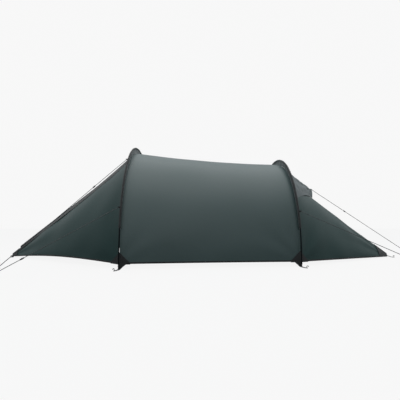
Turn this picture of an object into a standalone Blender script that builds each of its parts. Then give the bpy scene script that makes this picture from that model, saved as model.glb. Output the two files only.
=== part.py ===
"""A two-hoop tunnel tent, pitched: fly, porch, vent, poles, pegs, guylines and inner tent.

Metres, +Z up. +X runs from the porch to the rear end, and -Y is the near side. The origin is on
the ground under the middle of the tent.
"""

import math
from dataclasses import dataclass

import bmesh
import bpy
from mathutils import Matrix, Vector

# Overall sizes
GROUND_HALF_LENGTH = 1.876  # origin to the outer end of each tip strap
FRONT_STRAP = 0.022  # fly's front tip to the end of its strap
REAR_STRAP = 0.078
FRONT_HOOP_X = -0.618
REAR_HOOP_X = 0.712
FRONT_HOOP_HALF_WIDTH = 0.70
FRONT_HOOP_HEIGHT = 1.04
REAR_HOOP_HALF_WIDTH = 0.58
REAR_HOOP_HEIGHT = 0.935
ARCH_POWER = 2.1  # a hoop is a little fuller than an ellipse, whose power is 2

# Fly
CLOTH = 0.0012
POLE_STAND_OFF_TOP = 0.045  # fly to pole centre at the crown
POLE_STAND_OFF_SIDE = 0.022
RIDGE_SAG = 0.018  # dip of the fly between the hoops
TUNNEL_HEM = 0.037
FRONT_TIP_HEM = 0.012
FRONT_TIP_TOP = 0.036
REAR_TIP_HEM = 0.011
REAR_TIP_TOP = 0.040
TIP_HALF_WIDTH = 0.016
PORCH_HEM_ARCH = 0.026
TIP_POWER = 1.25  # sections sharpen towards a ridge at the tips
SHARPENING = 0.6  # under 1, sections sharpen mostly near the hoop
REAR_CROWN = 0.825  # top of the rear panels at the hoop, under the vent hood
PANEL_GAP = 0.0008  # between panels that meet along the rear ridge
HOOP_GAP = 0.0024  # between the tunnel and the end panels at a hoop
ARCH_STEPS = 32
HALF_STEPS = 14
TUNNEL_ROWS = 5
PORCH_ROWS = 7
REAR_ROWS = 5  # behind the vent hood

# Rear vent
VENT_END = 0.28  # share of the rear end that the mesh reaches
VENT_TURN = 0.30  # half the mesh's spread at the hoop, in quarter turns
HOOD_END = 0.32
HOOD_TURN = 0.58
HOOD_MOUTH_TURN = 0.18
HOOD_MOUTH_LIFT = 0.088
HOOD_SWEEP = 0.030  # share by which the mouth's corners stand forward of its middle
HOOD_CLEARANCE = 0.0035
VENT_GAP = 0.0015
VENT_ROWS = 4
MESH_STEPS = 8
HOOD_STEPS = 12

# Porch zip and its flap
ZIP_SLOT = 0.0065  # centre line to the edge of each porch panel
ZIP_TAPE_HALF = 0.004
ZIP_END = 0.935  # share of the porch that the zip reaches
FLAP_CROWN = 0.0160
FLAP_START = 0.012  # share of the porch where the flap begins, clear of the sleeve
FLAP_HALF_WIDTH = 0.017
FLAP_NEAR_WIDTH = 0.35  # ridge to the flap's near edge, at the hoop
FLAP_NEAR_TIP = 0.030
FLAP_NEAR_POWER = 1.8  # the near part narrows fastest beside the hoop
FLAP_NEAR_STEPS = 7
FLAP_STAND_OFF = 0.003  # flap edges to the panels they lie on
FLAP_SHAPE = ((-0.8, 0.75), (-0.4, 0.97), (0.4, 0.97), (0.8, 0.75))  # shares of half width, crown
SLIDER_LENGTH = 0.014
SLIDER_WIDTH = 0.007
SLIDER_HEIGHT = 0.0036
PULLER_LENGTH = 0.016
PULLER_WIDTH = 0.005
PULLER_THICKNESS = 0.0012
RUNNING_GAP = 0.0006

# Poles and sleeves
POLE_RADIUS = 0.00425
SLEEVE_CLEARANCE = 0.001
SLEEVE_CLOTH = 0.0008
SLEEVE_END = 0.29  # height at which each sleeve stops
SLEEVE_BASE_GAP = 0.003
SLEEVE_LEG = 0.001
SLEEVE_STEPS = 22
TANGENT_STEP = 0.01  # in quarter turns, for the way a pole runs
POLE_END = 0.030
POLE_TIP_TOP_RADIUS = 0.0055
POLE_TIP_RADIUS = 0.003
SEAT_GAP = 0.0006

# Feet and tips
PATCH_HALF_WIDTH = 0.075
PATCH_RISE = 0.078
PATCH_END_RISE = 0.08  # share of its rise that a patch keeps at its two ends
PATCH_STAND_OFF = 0.0025
PATCH_HEM_DROP = 0.004
TIP_PATCH_LENGTH = 0.8  # of the last row of each end panel
STRAP = 0.002
STRAP_TOP_WIDTH = 0.056
STRAP_TOP_OUT = 0.002  # the webbing's top beyond the hoop, away from the tunnel
STRAP_KNEE_HALF = 0.010
STRAP_SHELF_OUT = 0.014
STRAP_SHELF_IN = 0.012
STRAP_LIFT = 0.0008
STRAP_FACE_GAP = 0.008
FOOT_TOE = 0.046  # the webbing's reach beyond its shelf, outwards
FOOT_TOE_TURN = 0.014  # and away from the tunnel
TOE_HALF = 0.009
TIP_STRAP_WIDTH = 0.020
TIP_STRAP_TOP = 0.4  # share of the tip's height, above its hem, where its strap is sewn
PEG_RADIUS = 0.0022
EYELET_RADIUS = PEG_RADIUS + 0.0008
EYELET_DEPTH = 0.02
PEG_HEIGHT = 0.028
LOW_PEG_HEIGHT = 0.018  # pegs under the hoops' feet and at the tips
PEG_SHAPE = ((0, 0), (0, 0.5), (0, 0.8), (0.12, 0.96), (0.36, 1), (0.56, 0.88), (0.62, 0.6))
PEG_EDGE = 0.008  # peg centre to the end of the strap it holds

# Guylines
CORD_RADIUS = 0.002
CORD_STAND_OFF = 0.013
CORD_SIDE_SHARE = 0.7  # of the stand-off, outwards from the side of a sleeve
HOOD_TIE_OUT = 0.004  # guyline's start beyond the hood's mouth
CORD_STEPS = 14
CORD_PEG_HEIGHT = 0.010
UPPER_CORD_PEG_HEIGHT = 0.017
CORD_PEG_GAP = 0.0006
ADJUSTER_SHARE = 0.30
SIDE_ADJUSTER_SHARE = 0.78
HOOD_ADJUSTER_SHARE = 0.325
ADJUSTER_LENGTH = 0.022
ADJUSTER_SIDES = 12
SCREW_MERGE = 0.00001
ADJUSTER_RADIUS = 0.006
ADJUSTER_END_RADIUS = 0.0048
ADJUSTER_BORE = CORD_RADIUS + 0.0008
FRONT_UPPER_Y = 0.43
UPPER_TIE_RISE = 0.002
FRONT_SIDE_HEIGHT = 0.44
REAR_SIDE_HEIGHT = 0.418
FRONT_PEG = (-1.293, 0.99)
REAR_PEG = (1.517, 0.80)
REAR_CENTRE_PEG_OUT = 0.191  # beyond the end of the rear tip's strap
HOOK_REACH = (0.9, 0.4)  # direction of a guyline peg's hook, away from the tent and outwards

# Inner tent
INNER_INSET = 0.05
INNER_FRONT = 0.06  # front hoop to the inner tent's front wall
INNER_TUNNEL_END = 0.97  # shares of the tunnel and the rear end at the inner tent's sections
INNER_REAR_START = 0.04
INNER_END_SHARE = 0.52
INNER_FOOT = 0.03  # run of the inner tent's low end wall
INNER_FOOT_RISE = 0.02
INNER_FOOT_WIDTH = 0.96  # share of the last section's width
INNER_STEPS = 16
INNER_CLOTH = 0.001
INNER_DOOR_GAP = 0.004
TUB_HEIGHT = 0.085
TUB_FLOOR_SHARE = 0.6  # of the rim's width, so that the sides lean out
TUB_CLOTH = 0.0012
TUB_RIM_GAP = 0.005
DOOR_SLIDER_START = 0.82  # the door drops as its slider runs down

COLOURS = {
    "fly": ((0.052, 0.078, 0.080, 1), 0.72, 0.0),
    "dark_cloth": ((0.010, 0.013, 0.015, 1), 0.80, 0.0),
    "mesh": ((0.020, 0.024, 0.026, 1), 0.90, 0.0),
    "pole": ((0.030, 0.032, 0.034, 1), 0.30, 1.0),
    "plastic": ((0.012, 0.012, 0.013, 1), 0.45, 0.0),
    "peg": ((0.16, 0.17, 0.18, 1), 0.35, 1.0),
    "cord": ((0.20, 0.22, 0.22, 1), 0.80, 0.0),
    "inner": ((0.42, 0.43, 0.42, 1), 0.85, 0.0),
    "groundsheet": ((0.72, 0.73, 0.73, 1), 0.55, 0.0),
}

SIDES = {"near": -1, "far": 1}
PARTS = "tunnel_tent"
CUTTERS = "cutters"


@dataclass(frozen=True)
class Station:
    """One cross-section of the fly: an arch that stands on the ground line and ends at its hem."""

    x: float
    half_width: float
    top: float
    hem: float
    power: float

    def point(self, turn):
        """The arch at a turn from its crown, in quarter turns, negative on the near side."""
        angle = abs(turn) * math.pi / 2
        out = self.half_width * math.sin(angle) ** (2 / self.power)
        up = self.top * max(math.cos(angle), 0.0) ** (2 / self.power)
        return Vector((self.x, math.copysign(out, turn), up))

    def height_at(self, out):
        """The arch's height at this distance from the middle."""
        share = min(out / self.half_width, 1.0)
        return self.top * (1 - share**self.power) ** (1 / self.power)

    def turn_at(self, height):
        """The turn at which the arch is this high."""
        share = min(height / self.top, 1.0)
        return math.acos(share ** (self.power / 2)) / (math.pi / 2)

    def hem_turn(self):
        return self.turn_at(self.hem)


def mix(first, last, share):
    """The value this share of the way from the first to the last."""
    return first + (last - first) * share


def spread(first, last, steps):
    """Evenly spaced values from the first to the last."""
    return [mix(first, last, i / steps) for i in range(steps + 1)]


FRONT_TIP_X = -GROUND_HALF_LENGTH + FRONT_STRAP
REAR_TIP_X = GROUND_HALF_LENGTH - REAR_STRAP


def tunnel_station(share):
    """The fly between the hoops, from share 0 at the front one to 1 at the rear one."""
    sag = RIDGE_SAG * 4 * share * (1 - share)
    return Station(
        mix(FRONT_HOOP_X, REAR_HOOP_X, share),
        mix(FRONT_HOOP_HALF_WIDTH, REAR_HOOP_HALF_WIDTH, share) - POLE_STAND_OFF_SIDE,
        mix(FRONT_HOOP_HEIGHT, REAR_HOOP_HEIGHT, share) - POLE_STAND_OFF_TOP - sag,
        TUNNEL_HEM,
        ARCH_POWER,
    )


def porch_station(share):
    """The porch, from share 0 at the front hoop to 1 at the front tip."""
    hoop = tunnel_station(0)
    return Station(
        mix(hoop.x - HOOP_GAP, FRONT_TIP_X, share),
        mix(hoop.half_width, TIP_HALF_WIDTH, share),
        mix(hoop.top, FRONT_TIP_TOP, share),
        mix(hoop.hem, FRONT_TIP_HEM, share) + PORCH_HEM_ARCH * math.sin(math.pi * share),
        mix(ARCH_POWER, TIP_POWER, share**SHARPENING),
    )


def rear_station(share):
    """The rear end, from share 0 at the rear hoop to 1 at the rear tip."""
    hoop = tunnel_station(1)
    return Station(
        mix(hoop.x + HOOP_GAP, REAR_TIP_X, share),
        mix(hoop.half_width, TIP_HALF_WIDTH, share),
        mix(REAR_CROWN, REAR_TIP_TOP, share),
        mix(hoop.hem, REAR_TIP_HEM, share),
        mix(ARCH_POWER, TIP_POWER, share**SHARPENING),
    )


def collection(name):
    """A new collection in the scene."""
    made = bpy.data.collections.new(name)
    bpy.context.scene.collection.children.link(made)
    return made


def material(name):
    """The finish of this name, made the first time it is asked for."""
    found = bpy.data.materials.get(name)
    if found:
        return found
    colour, roughness, metallic = COLOURS[name]
    made = bpy.data.materials.new(name)
    made.use_nodes = True
    shader = made.node_tree.nodes["Principled BSDF"]
    shader.inputs["Base Color"].default_value = colour
    shader.inputs["Roughness"].default_value = roughness
    shader.inputs["Metallic"].default_value = metallic
    made.diffuse_color = colour
    return made


def add_object(name, data, finish):
    """A part from a mesh or a curve, in the collection of parts, with its material."""
    made = bpy.data.objects.new(name, data)
    data.materials.append(material(finish))
    bpy.data.collections[PARTS].objects.link(made)
    return made


def mesh_from(name, build):
    """A mesh whose bmesh the given function fills."""
    data = bpy.data.meshes.new(name)
    shape = bmesh.new()
    build(shape)
    shape.to_mesh(data)
    shape.free()
    return data


def solidify(part, thickness, offset):
    """Gives a sheet its thickness, on the side that the offset names."""
    modifier = part.modifiers.new("cloth", "SOLIDIFY")
    modifier.thickness = thickness
    modifier.offset = offset
    modifier.use_even_offset = True
    return part


def sheet(name, rows, finish, thickness=CLOTH, offset=-1.0):
    """A cloth sheet over a grid of points. Rows run along +X and columns from near to far."""

    def build(shape):
        grid = [[shape.verts.new(point) for point in row] for row in rows]
        for row, after in zip(grid, grid[1:]):
            for j in range(len(row) - 1):
                shape.faces.new((row[j], after[j], after[j + 1], row[j + 1]))

    data = mesh_from(name, build)
    data.shade_smooth()
    return solidify(add_object(name, data, finish), thickness, offset)


def tube(name, points, radius, finish):
    """A round bar or cord along a line of points, with closed ends."""
    curve = bpy.data.curves.new(name, "CURVE")
    curve.dimensions = "3D"
    curve.bevel_depth = radius
    curve.bevel_resolution = 2
    curve.use_fill_caps = True
    spline = curve.splines.new("POLY")
    spline.points.add(len(points) - 1)
    for place, point in zip(spline.points, points):
        place.co = (*point, 1)
    return add_object(name, curve, finish)


def cutter(name, place, radius, height):
    """An upright round cutter, kept with the other cutters."""
    data = mesh_from(
        name,
        lambda shape: bmesh.ops.create_cone(
            shape, cap_ends=True, segments=12, radius1=radius, radius2=radius, depth=height
        ),
    )
    made = bpy.data.objects.new(name, data)
    made.location = place
    made.hide_render = True
    made.display_type = "WIRE"
    bpy.data.collections[CUTTERS].objects.link(made)
    return made


def cut(part, tool):
    """Cuts a hole in a part with a cutter."""
    modifier = part.modifiers.new("eyelet", "BOOLEAN")
    modifier.operation = "DIFFERENCE"
    modifier.object = tool


def aim(part, place, direction, up="Z"):
    """Puts a part at a place with its own +X along the direction."""
    part.location = place
    part.rotation_euler = Vector(direction).to_track_quat("X", up).to_euler()


# Fly ---------------------------------------------------------------------------------------


def build_tunnel():
    """The fly between the two hoops."""
    rows = []
    for share in spread(0, 1, TUNNEL_ROWS):
        station = tunnel_station(share)
        limit = station.hem_turn()
        rows.append([station.point(turn) for turn in spread(-limit, limit, ARCH_STEPS)])
    sheet("fly_tunnel", rows, "fly")


def half_row(station, side, top_turn, centre_gap):
    """One side of a section, from its hem to its upper edge, ordered from near to far."""
    row = []
    for turn in spread(station.hem_turn(), top_turn, HALF_STEPS):
        point = station.point(side * turn)
        point.y = side * max(abs(point.y), centre_gap)
        row.append(point)
    return row if side < 0 else row[::-1]


def porch_shares():
    """Where the porch's sections stand, one of them at the zip's end."""
    return [*spread(0, ZIP_END, PORCH_ROWS), 1.0]


def build_porch():
    """The porch's two panels, which part at the zip."""
    shares = porch_shares()[::-1]
    for name, side in (("porch_door_near", -1), ("porch_wall_far", 1)):
        rows = [half_row(porch_station(share), side, 0, ZIP_SLOT) for share in shares]
        sheet(name, rows, "fly")


def vent_turn(share):
    """Half the mesh's spread at this share of the rear end, in quarter turns."""
    return VENT_TURN * max(1 - share / VENT_END, 0.0)


def hood_shares():
    """Where the vent's and the hood's sections stand."""
    return spread(0, VENT_END, VENT_ROWS) + [HOOD_END]


def rear_shares():
    """Where the rear panels' sections stand."""
    return hood_shares() + spread(HOOD_END, 1, REAR_ROWS)[1:]


def build_rear():
    """The rear end's two panels, with the vent's opening left between them."""
    for name, side in (("rear_panel_near", -1), ("rear_panel_far", 1)):
        rows = []
        for share in rear_shares():
            rows.append(half_row(rear_station(share), side, vent_turn(share), PANEL_GAP))
        sheet(name, rows, "fly")


def build_vent():
    """The mesh panel in the rear end, and the hood over it that opens to the rear."""
    mesh_rows = []
    for share in spread(0, VENT_END, VENT_ROWS)[:-1]:
        station = rear_station(share)
        gap = VENT_GAP / station.half_width
        limit = vent_turn(share) - gap
        mesh_rows.append([station.point(turn) for turn in spread(-limit, limit, MESH_STEPS)])
    sheet("vent_mesh", mesh_rows, "mesh")

    hood_rows = []
    crown_lift = tunnel_station(1).top - REAR_CROWN
    for share in hood_shares():
        along = share / HOOD_END
        limit = mix(HOOD_TURN, HOOD_MOUTH_TURN, along)
        lift = mix(crown_lift, HOOD_MOUTH_LIFT, along)
        row = []
        for turn in spread(-limit, limit, HOOD_STEPS):
            station = rear_station(share - HOOD_SWEEP * (along * turn / limit) ** 2)
            rise = lift * math.cos(math.pi / 2 * turn / limit)
            out = HOOD_CLEARANCE * math.copysign(math.sin(abs(turn) * math.pi / 2), turn)
            row.append(station.point(turn) + Vector((0, out, rise + HOOD_CLEARANCE)))
        hood_rows.append(row)
    sheet("vent_hood", hood_rows, "fly", offset=1.0)


# Porch zip ---------------------------------------------------------------------------------


def ridge_point(share):
    """The porch's ridge line at this share of its length."""
    station = porch_station(share)
    return Vector((station.x, 0, station.top))


def flap_row(share, up):
    """The flap's section: a near part on the door, a crown that clears the slider, a far edge."""
    station = porch_station(share)
    ridge = ridge_point(share)

    def on_panel(out, side):
        return Vector((ridge.x, side * out, station.height_at(out) + FLAP_STAND_OFF))

    near = mix(FLAP_NEAR_TIP, FLAP_NEAR_WIDTH, (1 - share) ** FLAP_NEAR_POWER)
    row = [on_panel(out, -1) for out in spread(near, FLAP_HALF_WIDTH, FLAP_NEAR_STEPS)]
    for out, rise in FLAP_SHAPE:
        row.append(ridge + Vector((0, out * FLAP_HALF_WIDTH, 0)) + up * rise * FLAP_CROWN)
    row.append(on_panel(FLAP_HALF_WIDTH, 1))
    return row


def ridge_frame():
    """Along the porch ridge from the tip up to the hoop, and the ridge's upward normal."""
    along = (ridge_point(0) - ridge_point(1)).normalized()
    return along, Vector((-along.z, 0, along.x))


def build_zip():
    """The zip's tape along the porch's ridge, its slider and puller, and the flap over them."""
    along, up = ridge_frame()
    across = Vector((0, 1, 0))
    start = ridge_point(ZIP_END)
    tape = []
    for point in (start, ridge_point(0)):
        tape.append([point - across * ZIP_TAPE_HALF, point + across * ZIP_TAPE_HALF])
    sheet("porch_zip_tape", tape, "dark_cloth")

    shares = porch_shares()[:-1]
    rows = [flap_row(share, up) for share in shares]
    start_share = FLAP_START / shares[1]
    rows[0] = [first.lerp(after, start_share) for first, after in zip(rows[0], rows[1])]
    sheet("storm_flap", rows[::-1], "dark_cloth", offset=1.0)

    slider = block("porch_zip_slider", SLIDER_LENGTH, SLIDER_WIDTH, SLIDER_HEIGHT, "plastic")
    lift = RUNNING_GAP + SLIDER_HEIGHT / 2
    place = start + along * (PULLER_LENGTH + SLIDER_LENGTH) + up * lift
    aim(slider, place, along)
    puller = block("porch_zip_puller", PULLER_LENGTH, PULLER_WIDTH, PULLER_THICKNESS, "plastic")
    puller.data.transform(Matrix.Translation((-PULLER_LENGTH / 2, 0, 0)))
    aim(puller, place - along * (SLIDER_LENGTH / 2 + RUNNING_GAP), along)


def block(name, length, width, height, finish):
    """A small moulded block with eased edges, centred on its own origin."""
    data = mesh_from(name, lambda shape: bmesh.ops.create_cube(shape, size=1))
    for vertex in data.vertices:
        vertex.co.x *= length
        vertex.co.y *= width
        vertex.co.z *= height
    made = add_object(name, data, finish)
    bevel = made.modifiers.new("eased_edges", "BEVEL")
    bevel.width = height / 4
    bevel.segments = 1
    return made


# Poles and sleeves -------------------------------------------------------------------------


def hoop_station(hoop_x, half_width, height):
    """A pole's own arch, as a section."""
    return Station(hoop_x, half_width, height, POLE_END, ARCH_POWER)


def hoops():
    """Each hoop's name, its pole's arch, and the fly's arch under it."""
    front = hoop_station(FRONT_HOOP_X, FRONT_HOOP_HALF_WIDTH, FRONT_HOOP_HEIGHT)
    rear = hoop_station(REAR_HOOP_X, REAR_HOOP_HALF_WIDTH, REAR_HOOP_HEIGHT)
    return (("front", front, tunnel_station(0), -1), ("rear", rear, tunnel_station(1), 1))


def build_hoop(name, pole, fly):
    """A hoop pole and the sleeve it runs in, which is open along the fly."""
    sleeve_turn = pole.turn_at(SLEEVE_END)
    sleeve_turns = spread(-sleeve_turn, sleeve_turn, SLEEVE_STEPS)
    foot_turns = spread(pole.hem_turn(), sleeve_turn, 3)[:-1]
    turns = [-turn for turn in foot_turns] + sleeve_turns + foot_turns[::-1]
    tube(f"pole_{name}", [pole.point(turn) for turn in turns], POLE_RADIUS, "pole")

    bore = POLE_RADIUS + SLEEVE_CLEARANCE
    along_x = Vector((1, 0, 0))
    rows = []
    for turn in sleeve_turns:
        centre = pole.point(turn)
        base = fly.point(turn)
        out = (centre - base).normalized()
        foot = base + out * SLEEVE_BASE_GAP
        way = (pole.point(turn + TANGENT_STEP) - pole.point(turn - TANGENT_STEP)).normalized()
        square = (out - way * out.dot(way)).normalized()
        wrap = [
            centre + along_x * bore * math.cos(angle) + square * bore * math.sin(angle)
            for angle in spread(0, math.pi, 4)
        ]
        rows.append([foot + along_x * SLEEVE_LEG, *wrap, foot - along_x * SLEEVE_LEG])
    sheet(f"pole_sleeve_{name}", rows, "dark_cloth", SLEEVE_CLOTH, offset=1.0)


def build_pole_tip(name, pole, side):
    """The tapered metal tip that the pole's end stands in."""
    bottom = STRAP_LIFT + STRAP + SEAT_GAP
    top = POLE_END - SEAT_GAP
    data = mesh_from(
        name,
        lambda shape: bmesh.ops.create_cone(
            shape,
            cap_ends=True,
            segments=12,
            radius1=POLE_TIP_RADIUS,
            radius2=POLE_TIP_TOP_RADIUS,
            depth=top - bottom,
        ),
    )
    data.shade_smooth()
    data.set_sharp_from_angle(angle=math.radians(40))
    made = add_object(name, data, "peg")
    made.location = (pole.x, side * pole.half_width, (top + bottom) / 2)


# Feet --------------------------------------------------------------------------------------


def patch_column(station, side, rise):
    """A short upright line of points on the fly's side, stood off it, from hem to rise."""
    column = []
    low = station.hem - PATCH_HEM_DROP
    for height in spread(low, station.hem + rise, 3):
        point = station.point(side * station.turn_at(height))
        point.y += side * PATCH_STAND_OFF
        column.append(point)
    return column


def build_foot_patch(name, fly, side):
    """A triangular patch over the hoop's foot, across the seam of tunnel and end panel."""
    rows = []
    for out in spread(-1, 1, 4):
        station = fly_station_at(fly.x + out * PATCH_HALF_WIDTH)
        rise = PATCH_RISE * (1 - abs(out) + PATCH_END_RISE)
        rows.append(patch_column(station, side, rise))
    if side > 0:
        rows = [row[::-1] for row in rows]
    sheet(name, rows, "dark_cloth", offset=1.0)


def fly_station_at(x):
    """The section of the whole fly at a place along it."""
    if x < FRONT_HOOP_X:
        return porch_station((FRONT_HOOP_X - x) / (FRONT_HOOP_X - FRONT_TIP_X))
    if x > REAR_HOOP_X:
        return rear_station((x - REAR_HOOP_X) / (REAR_TIP_X - REAR_HOOP_X))
    return tunnel_station((x - FRONT_HOOP_X) / (REAR_HOOP_X - FRONT_HOOP_X))


def hem_reach(x):
    """How far the fly's hem stands from the middle, at a place along it."""
    station = fly_station_at(x)
    return abs(station.point(station.hem_turn()).y)


def build_foot_webbing(name, pole, fly, side, end):
    """Webbing from the hem down under the pole's tip, with a toe out to the peg."""
    knee_y = pole.half_width - STRAP_SHELF_IN
    out_y = pole.half_width + STRAP_SHELF_OUT
    toe_y = out_y + FOOT_TOE
    toe_x = pole.x + end * FOOT_TOE_TURN
    low = STRAP_LIFT

    def build(shape):
        def corner(x, y, z):
            return shape.verts.new((x, side * y, z))

        ends = (pole.x + end * STRAP_KNEE_HALF, pole.x - end * STRAP_KNEE_HALF)
        tops = (pole.x + end * STRAP_TOP_OUT, pole.x + end * (STRAP_TOP_OUT - STRAP_TOP_WIDTH))
        top = [corner(x, hem_reach(x) + STRAP_FACE_GAP, fly.hem + PATCH_HEM_DROP) for x in tops]
        knee = [corner(x, knee_y, low) for x in ends]
        rim = [corner(x, out_y, low) for x in ends]
        toe = [corner(toe_x + end * TOE_HALF, toe_y, low), corner(toe_x - end * TOE_HALF, toe_y, low)]
        shape.faces.new((top[0], top[1], knee[1], knee[0]))
        shape.faces.new((knee[0], knee[1], rim[1], rim[0]))
        shape.faces.new((rim[0], rim[1], toe[1], toe[0]))
        bmesh.ops.recalc_face_normals(shape, faces=shape.faces[:])
        shape.normal_update()
        if shape.faces[1].normal.z < 0:
            bmesh.ops.reverse_faces(shape, faces=shape.faces[:])

    made = add_object(name, mesh_from(name, build), "dark_cloth")
    solidify(made, STRAP, 1.0)
    peg_place = Vector((toe_x, side * (toe_y - PEG_EDGE), 0))
    cut(made, cutter(f"{name}_eyelet", peg_place, EYELET_RADIUS, EYELET_DEPTH))
    return peg_place


def build_peg(name, place, outward, height=LOW_PEG_HEIGHT):
    """The part of a wire peg that shows: a stem from the ground, hooked over at its top."""
    reach = Vector(outward).normalized() * height
    up = Vector((0, 0, height))
    points = [place + reach * out + up * rise for out, rise in PEG_SHAPE]
    tube(name, points, PEG_RADIUS, "peg")


def build_feet():
    """Both hoops, and at each of their feet the patch, the webbing, the pole's tip and the peg."""
    for hoop, pole, fly, end in hoops():
        build_hoop(hoop, pole, fly)
        for side_name, side in SIDES.items():
            tag = f"{hoop}_{side_name}"
            build_pole_tip(f"pole_tip_{tag}", pole, side)
            build_foot_patch(f"foot_patch_{tag}", fly, side)
            peg_place = build_foot_webbing(f"foot_webbing_{tag}", pole, fly, side, end)
            build_peg(f"foot_peg_{tag}", peg_place, (end, side, 0))


def tip_patch_row(station, centre_gap):
    """A section stood off both panels, over the ridge from the near hem to the far one."""
    row = []
    for side in (-1, 1):
        shift = Vector((0, side * PATCH_STAND_OFF, PATCH_STAND_OFF))
        row += [point + shift for point in half_row(station, side, 0, centre_gap)]
    return row


def build_tip(name, station_at, last_share, centre_gap, end, strap_length):
    """The dark patch over a tip of the fly, its strap, and the peg through the strap's end."""
    outer = tip_patch_row(station_at(1), centre_gap)
    inner = tip_patch_row(station_at(last_share), centre_gap)
    rows = []
    for share in spread(0, TIP_PATCH_LENGTH, 2):
        rows.append([first.lerp(last, share) for first, last in zip(outer, inner)])
    if end > 0:
        rows.reverse()
    sheet(f"tip_patch_{name}", rows, "dark_cloth", offset=1.0)

    tip = station_at(1)
    half = TIP_STRAP_WIDTH / 2
    start_x = tip.x + end * PATCH_STAND_OFF
    flat = 2 * PEG_EDGE
    path = (
        (start_x, mix(tip.hem, tip.top, TIP_STRAP_TOP)),
        (tip.x + end * (strap_length - flat), STRAP_LIFT + STRAP),
        (tip.x + end * strap_length, STRAP_LIFT + STRAP),
    )
    rows = [[Vector((x, -half, z)), Vector((x, half, z))] for x, z in path]
    if end < 0:
        rows.reverse()
    strap = sheet(f"tip_webbing_{name}", rows, "dark_cloth", STRAP)
    peg_place = Vector((tip.x + end * (strap_length - PEG_EDGE), 0, 0))
    cut(strap, cutter(f"tip_webbing_{name}_eyelet", peg_place, EYELET_RADIUS, EYELET_DEPTH))
    build_peg(f"tip_peg_{name}", peg_place, (end, 0, 0))


# Guylines ----------------------------------------------------------------------------------


def peg_end(start, peg_ground, height):
    """Where a guyline from its start meets its peg's stem, a hair short of it."""
    target = Vector((peg_ground.x, peg_ground.y, height))
    flat = (target - start) * Vector((1, 1, 0))
    return target - flat.normalized() * (PEG_RADIUS + CORD_RADIUS + CORD_PEG_GAP)


def build_guyline(name, start, peg_ground, height, adjuster_share):
    """A taut line from the tent to its peg, and the adjuster that slides on it."""
    end = peg_end(start, peg_ground, height)
    points = [start.lerp(end, share) for share in spread(0, 1, CORD_STEPS)]
    tube(f"guy_{name}", points, CORD_RADIUS, "cord")
    adjuster = add_object(f"adjuster_{name}", mesh_from(f"adjuster_{name}", adjuster_profile), "plastic")
    turn = adjuster.modifiers.new("turned", "SCREW")
    turn.axis = "X"
    turn.steps = ADJUSTER_SIDES
    turn.render_steps = ADJUSTER_SIDES
    turn.use_merge_vertices = True
    turn.merge_threshold = SCREW_MERGE
    turn.use_smooth_shade = False
    aim(adjuster, start.lerp(end, adjuster_share), end - start)


def adjuster_profile(shape):
    """The section of a barrel with a bore for the cord along its own +X."""
    half = ADJUSTER_LENGTH / 2
    section = (
        (half, ADJUSTER_BORE),
        (half, ADJUSTER_END_RADIUS),
        (0, ADJUSTER_RADIUS),
        (-half, ADJUSTER_END_RADIUS),
        (-half, ADJUSTER_BORE),
    )
    corners = [shape.verts.new((x, 0, radius)) for x, radius in section]
    for corner, after in zip(corners, corners[1:] + corners[:1]):
        shape.edges.new((corner, after))


def sleeve_side_point(pole, height, side, end):
    """A guyline's start just outside a sleeve at this height."""
    point = pole.point(side * pole.turn_at(height))
    return point + Vector((end, side * CORD_SIDE_SHARE, 0)) * CORD_STAND_OFF


def build_guylines():
    """Three guylines on each side and one from the vent's hood, each to its peg."""
    (_, front, _, _), (_, rear, _, _) = hoops()
    away, outwards = HOOK_REACH
    for side_name, side in SIDES.items():
        peg = Vector((FRONT_PEG[0], side * FRONT_PEG[1], 0))
        upper = Vector((front.x, side * FRONT_UPPER_Y, front.height_at(FRONT_UPPER_Y)))
        upper += Vector((-CORD_STAND_OFF, 0, UPPER_TIE_RISE))
        lower = sleeve_side_point(front, FRONT_SIDE_HEIGHT, side, -1)
        name = f"front_upper_{side_name}"
        build_guyline(name, upper, peg, UPPER_CORD_PEG_HEIGHT, ADJUSTER_SHARE)
        name = f"front_side_{side_name}"
        build_guyline(name, lower, peg, CORD_PEG_HEIGHT, SIDE_ADJUSTER_SHARE)
        build_peg(f"guy_peg_front_{side_name}", peg, (-away, side * outwards, 0), PEG_HEIGHT)
        peg = Vector((REAR_PEG[0], side * REAR_PEG[1], 0))
        lower = sleeve_side_point(rear, REAR_SIDE_HEIGHT, side, 1)
        name = f"rear_side_{side_name}"
        build_guyline(name, lower, peg, CORD_PEG_HEIGHT, SIDE_ADJUSTER_SHARE)
        build_peg(f"guy_peg_rear_{side_name}", peg, (away, side * outwards, 0), PEG_HEIGHT)
    mouth = rear_station(HOOD_END)
    tip = Vector((mouth.x + HOOD_TIE_OUT, 0, mouth.top + HOOD_MOUTH_LIFT + HOOD_CLEARANCE))
    peg = Vector((GROUND_HALF_LENGTH + REAR_CENTRE_PEG_OUT, 0, 0))
    build_guyline("rear_hood", tip, peg, CORD_PEG_HEIGHT, HOOD_ADJUSTER_SHARE)
    build_peg("guy_peg_rear_centre", peg, (1, 0, 0), PEG_HEIGHT)


# Inner tent --------------------------------------------------------------------------------


def inset_station(station):
    """The inner tent's section inside a section of the fly."""
    return Station(
        station.x,
        station.half_width - INNER_INSET,
        station.top - INNER_INSET,
        TUB_HEIGHT + TUB_RIM_GAP,
        station.power,
    )


def inner_stations():
    """The inner tent's sections from its door to its low end wall."""
    first = INNER_FRONT / (REAR_HOOP_X - FRONT_HOOP_X)
    tunnel_shares = spread(first, INNER_TUNNEL_END, 3)
    rear_end_shares = spread(INNER_REAR_START, INNER_END_SHARE, 3)
    tunnel = [inset_station(tunnel_station(share)) for share in tunnel_shares]
    rear = [inset_station(rear_station(share)) for share in rear_end_shares]
    end = rear[-1]
    foot_width = end.half_width * INNER_FOOT_WIDTH
    foot = Station(end.x + INNER_FOOT, foot_width, end.hem + INNER_FOOT_RISE, end.hem, end.power)
    return tunnel + rear + [foot]


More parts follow.
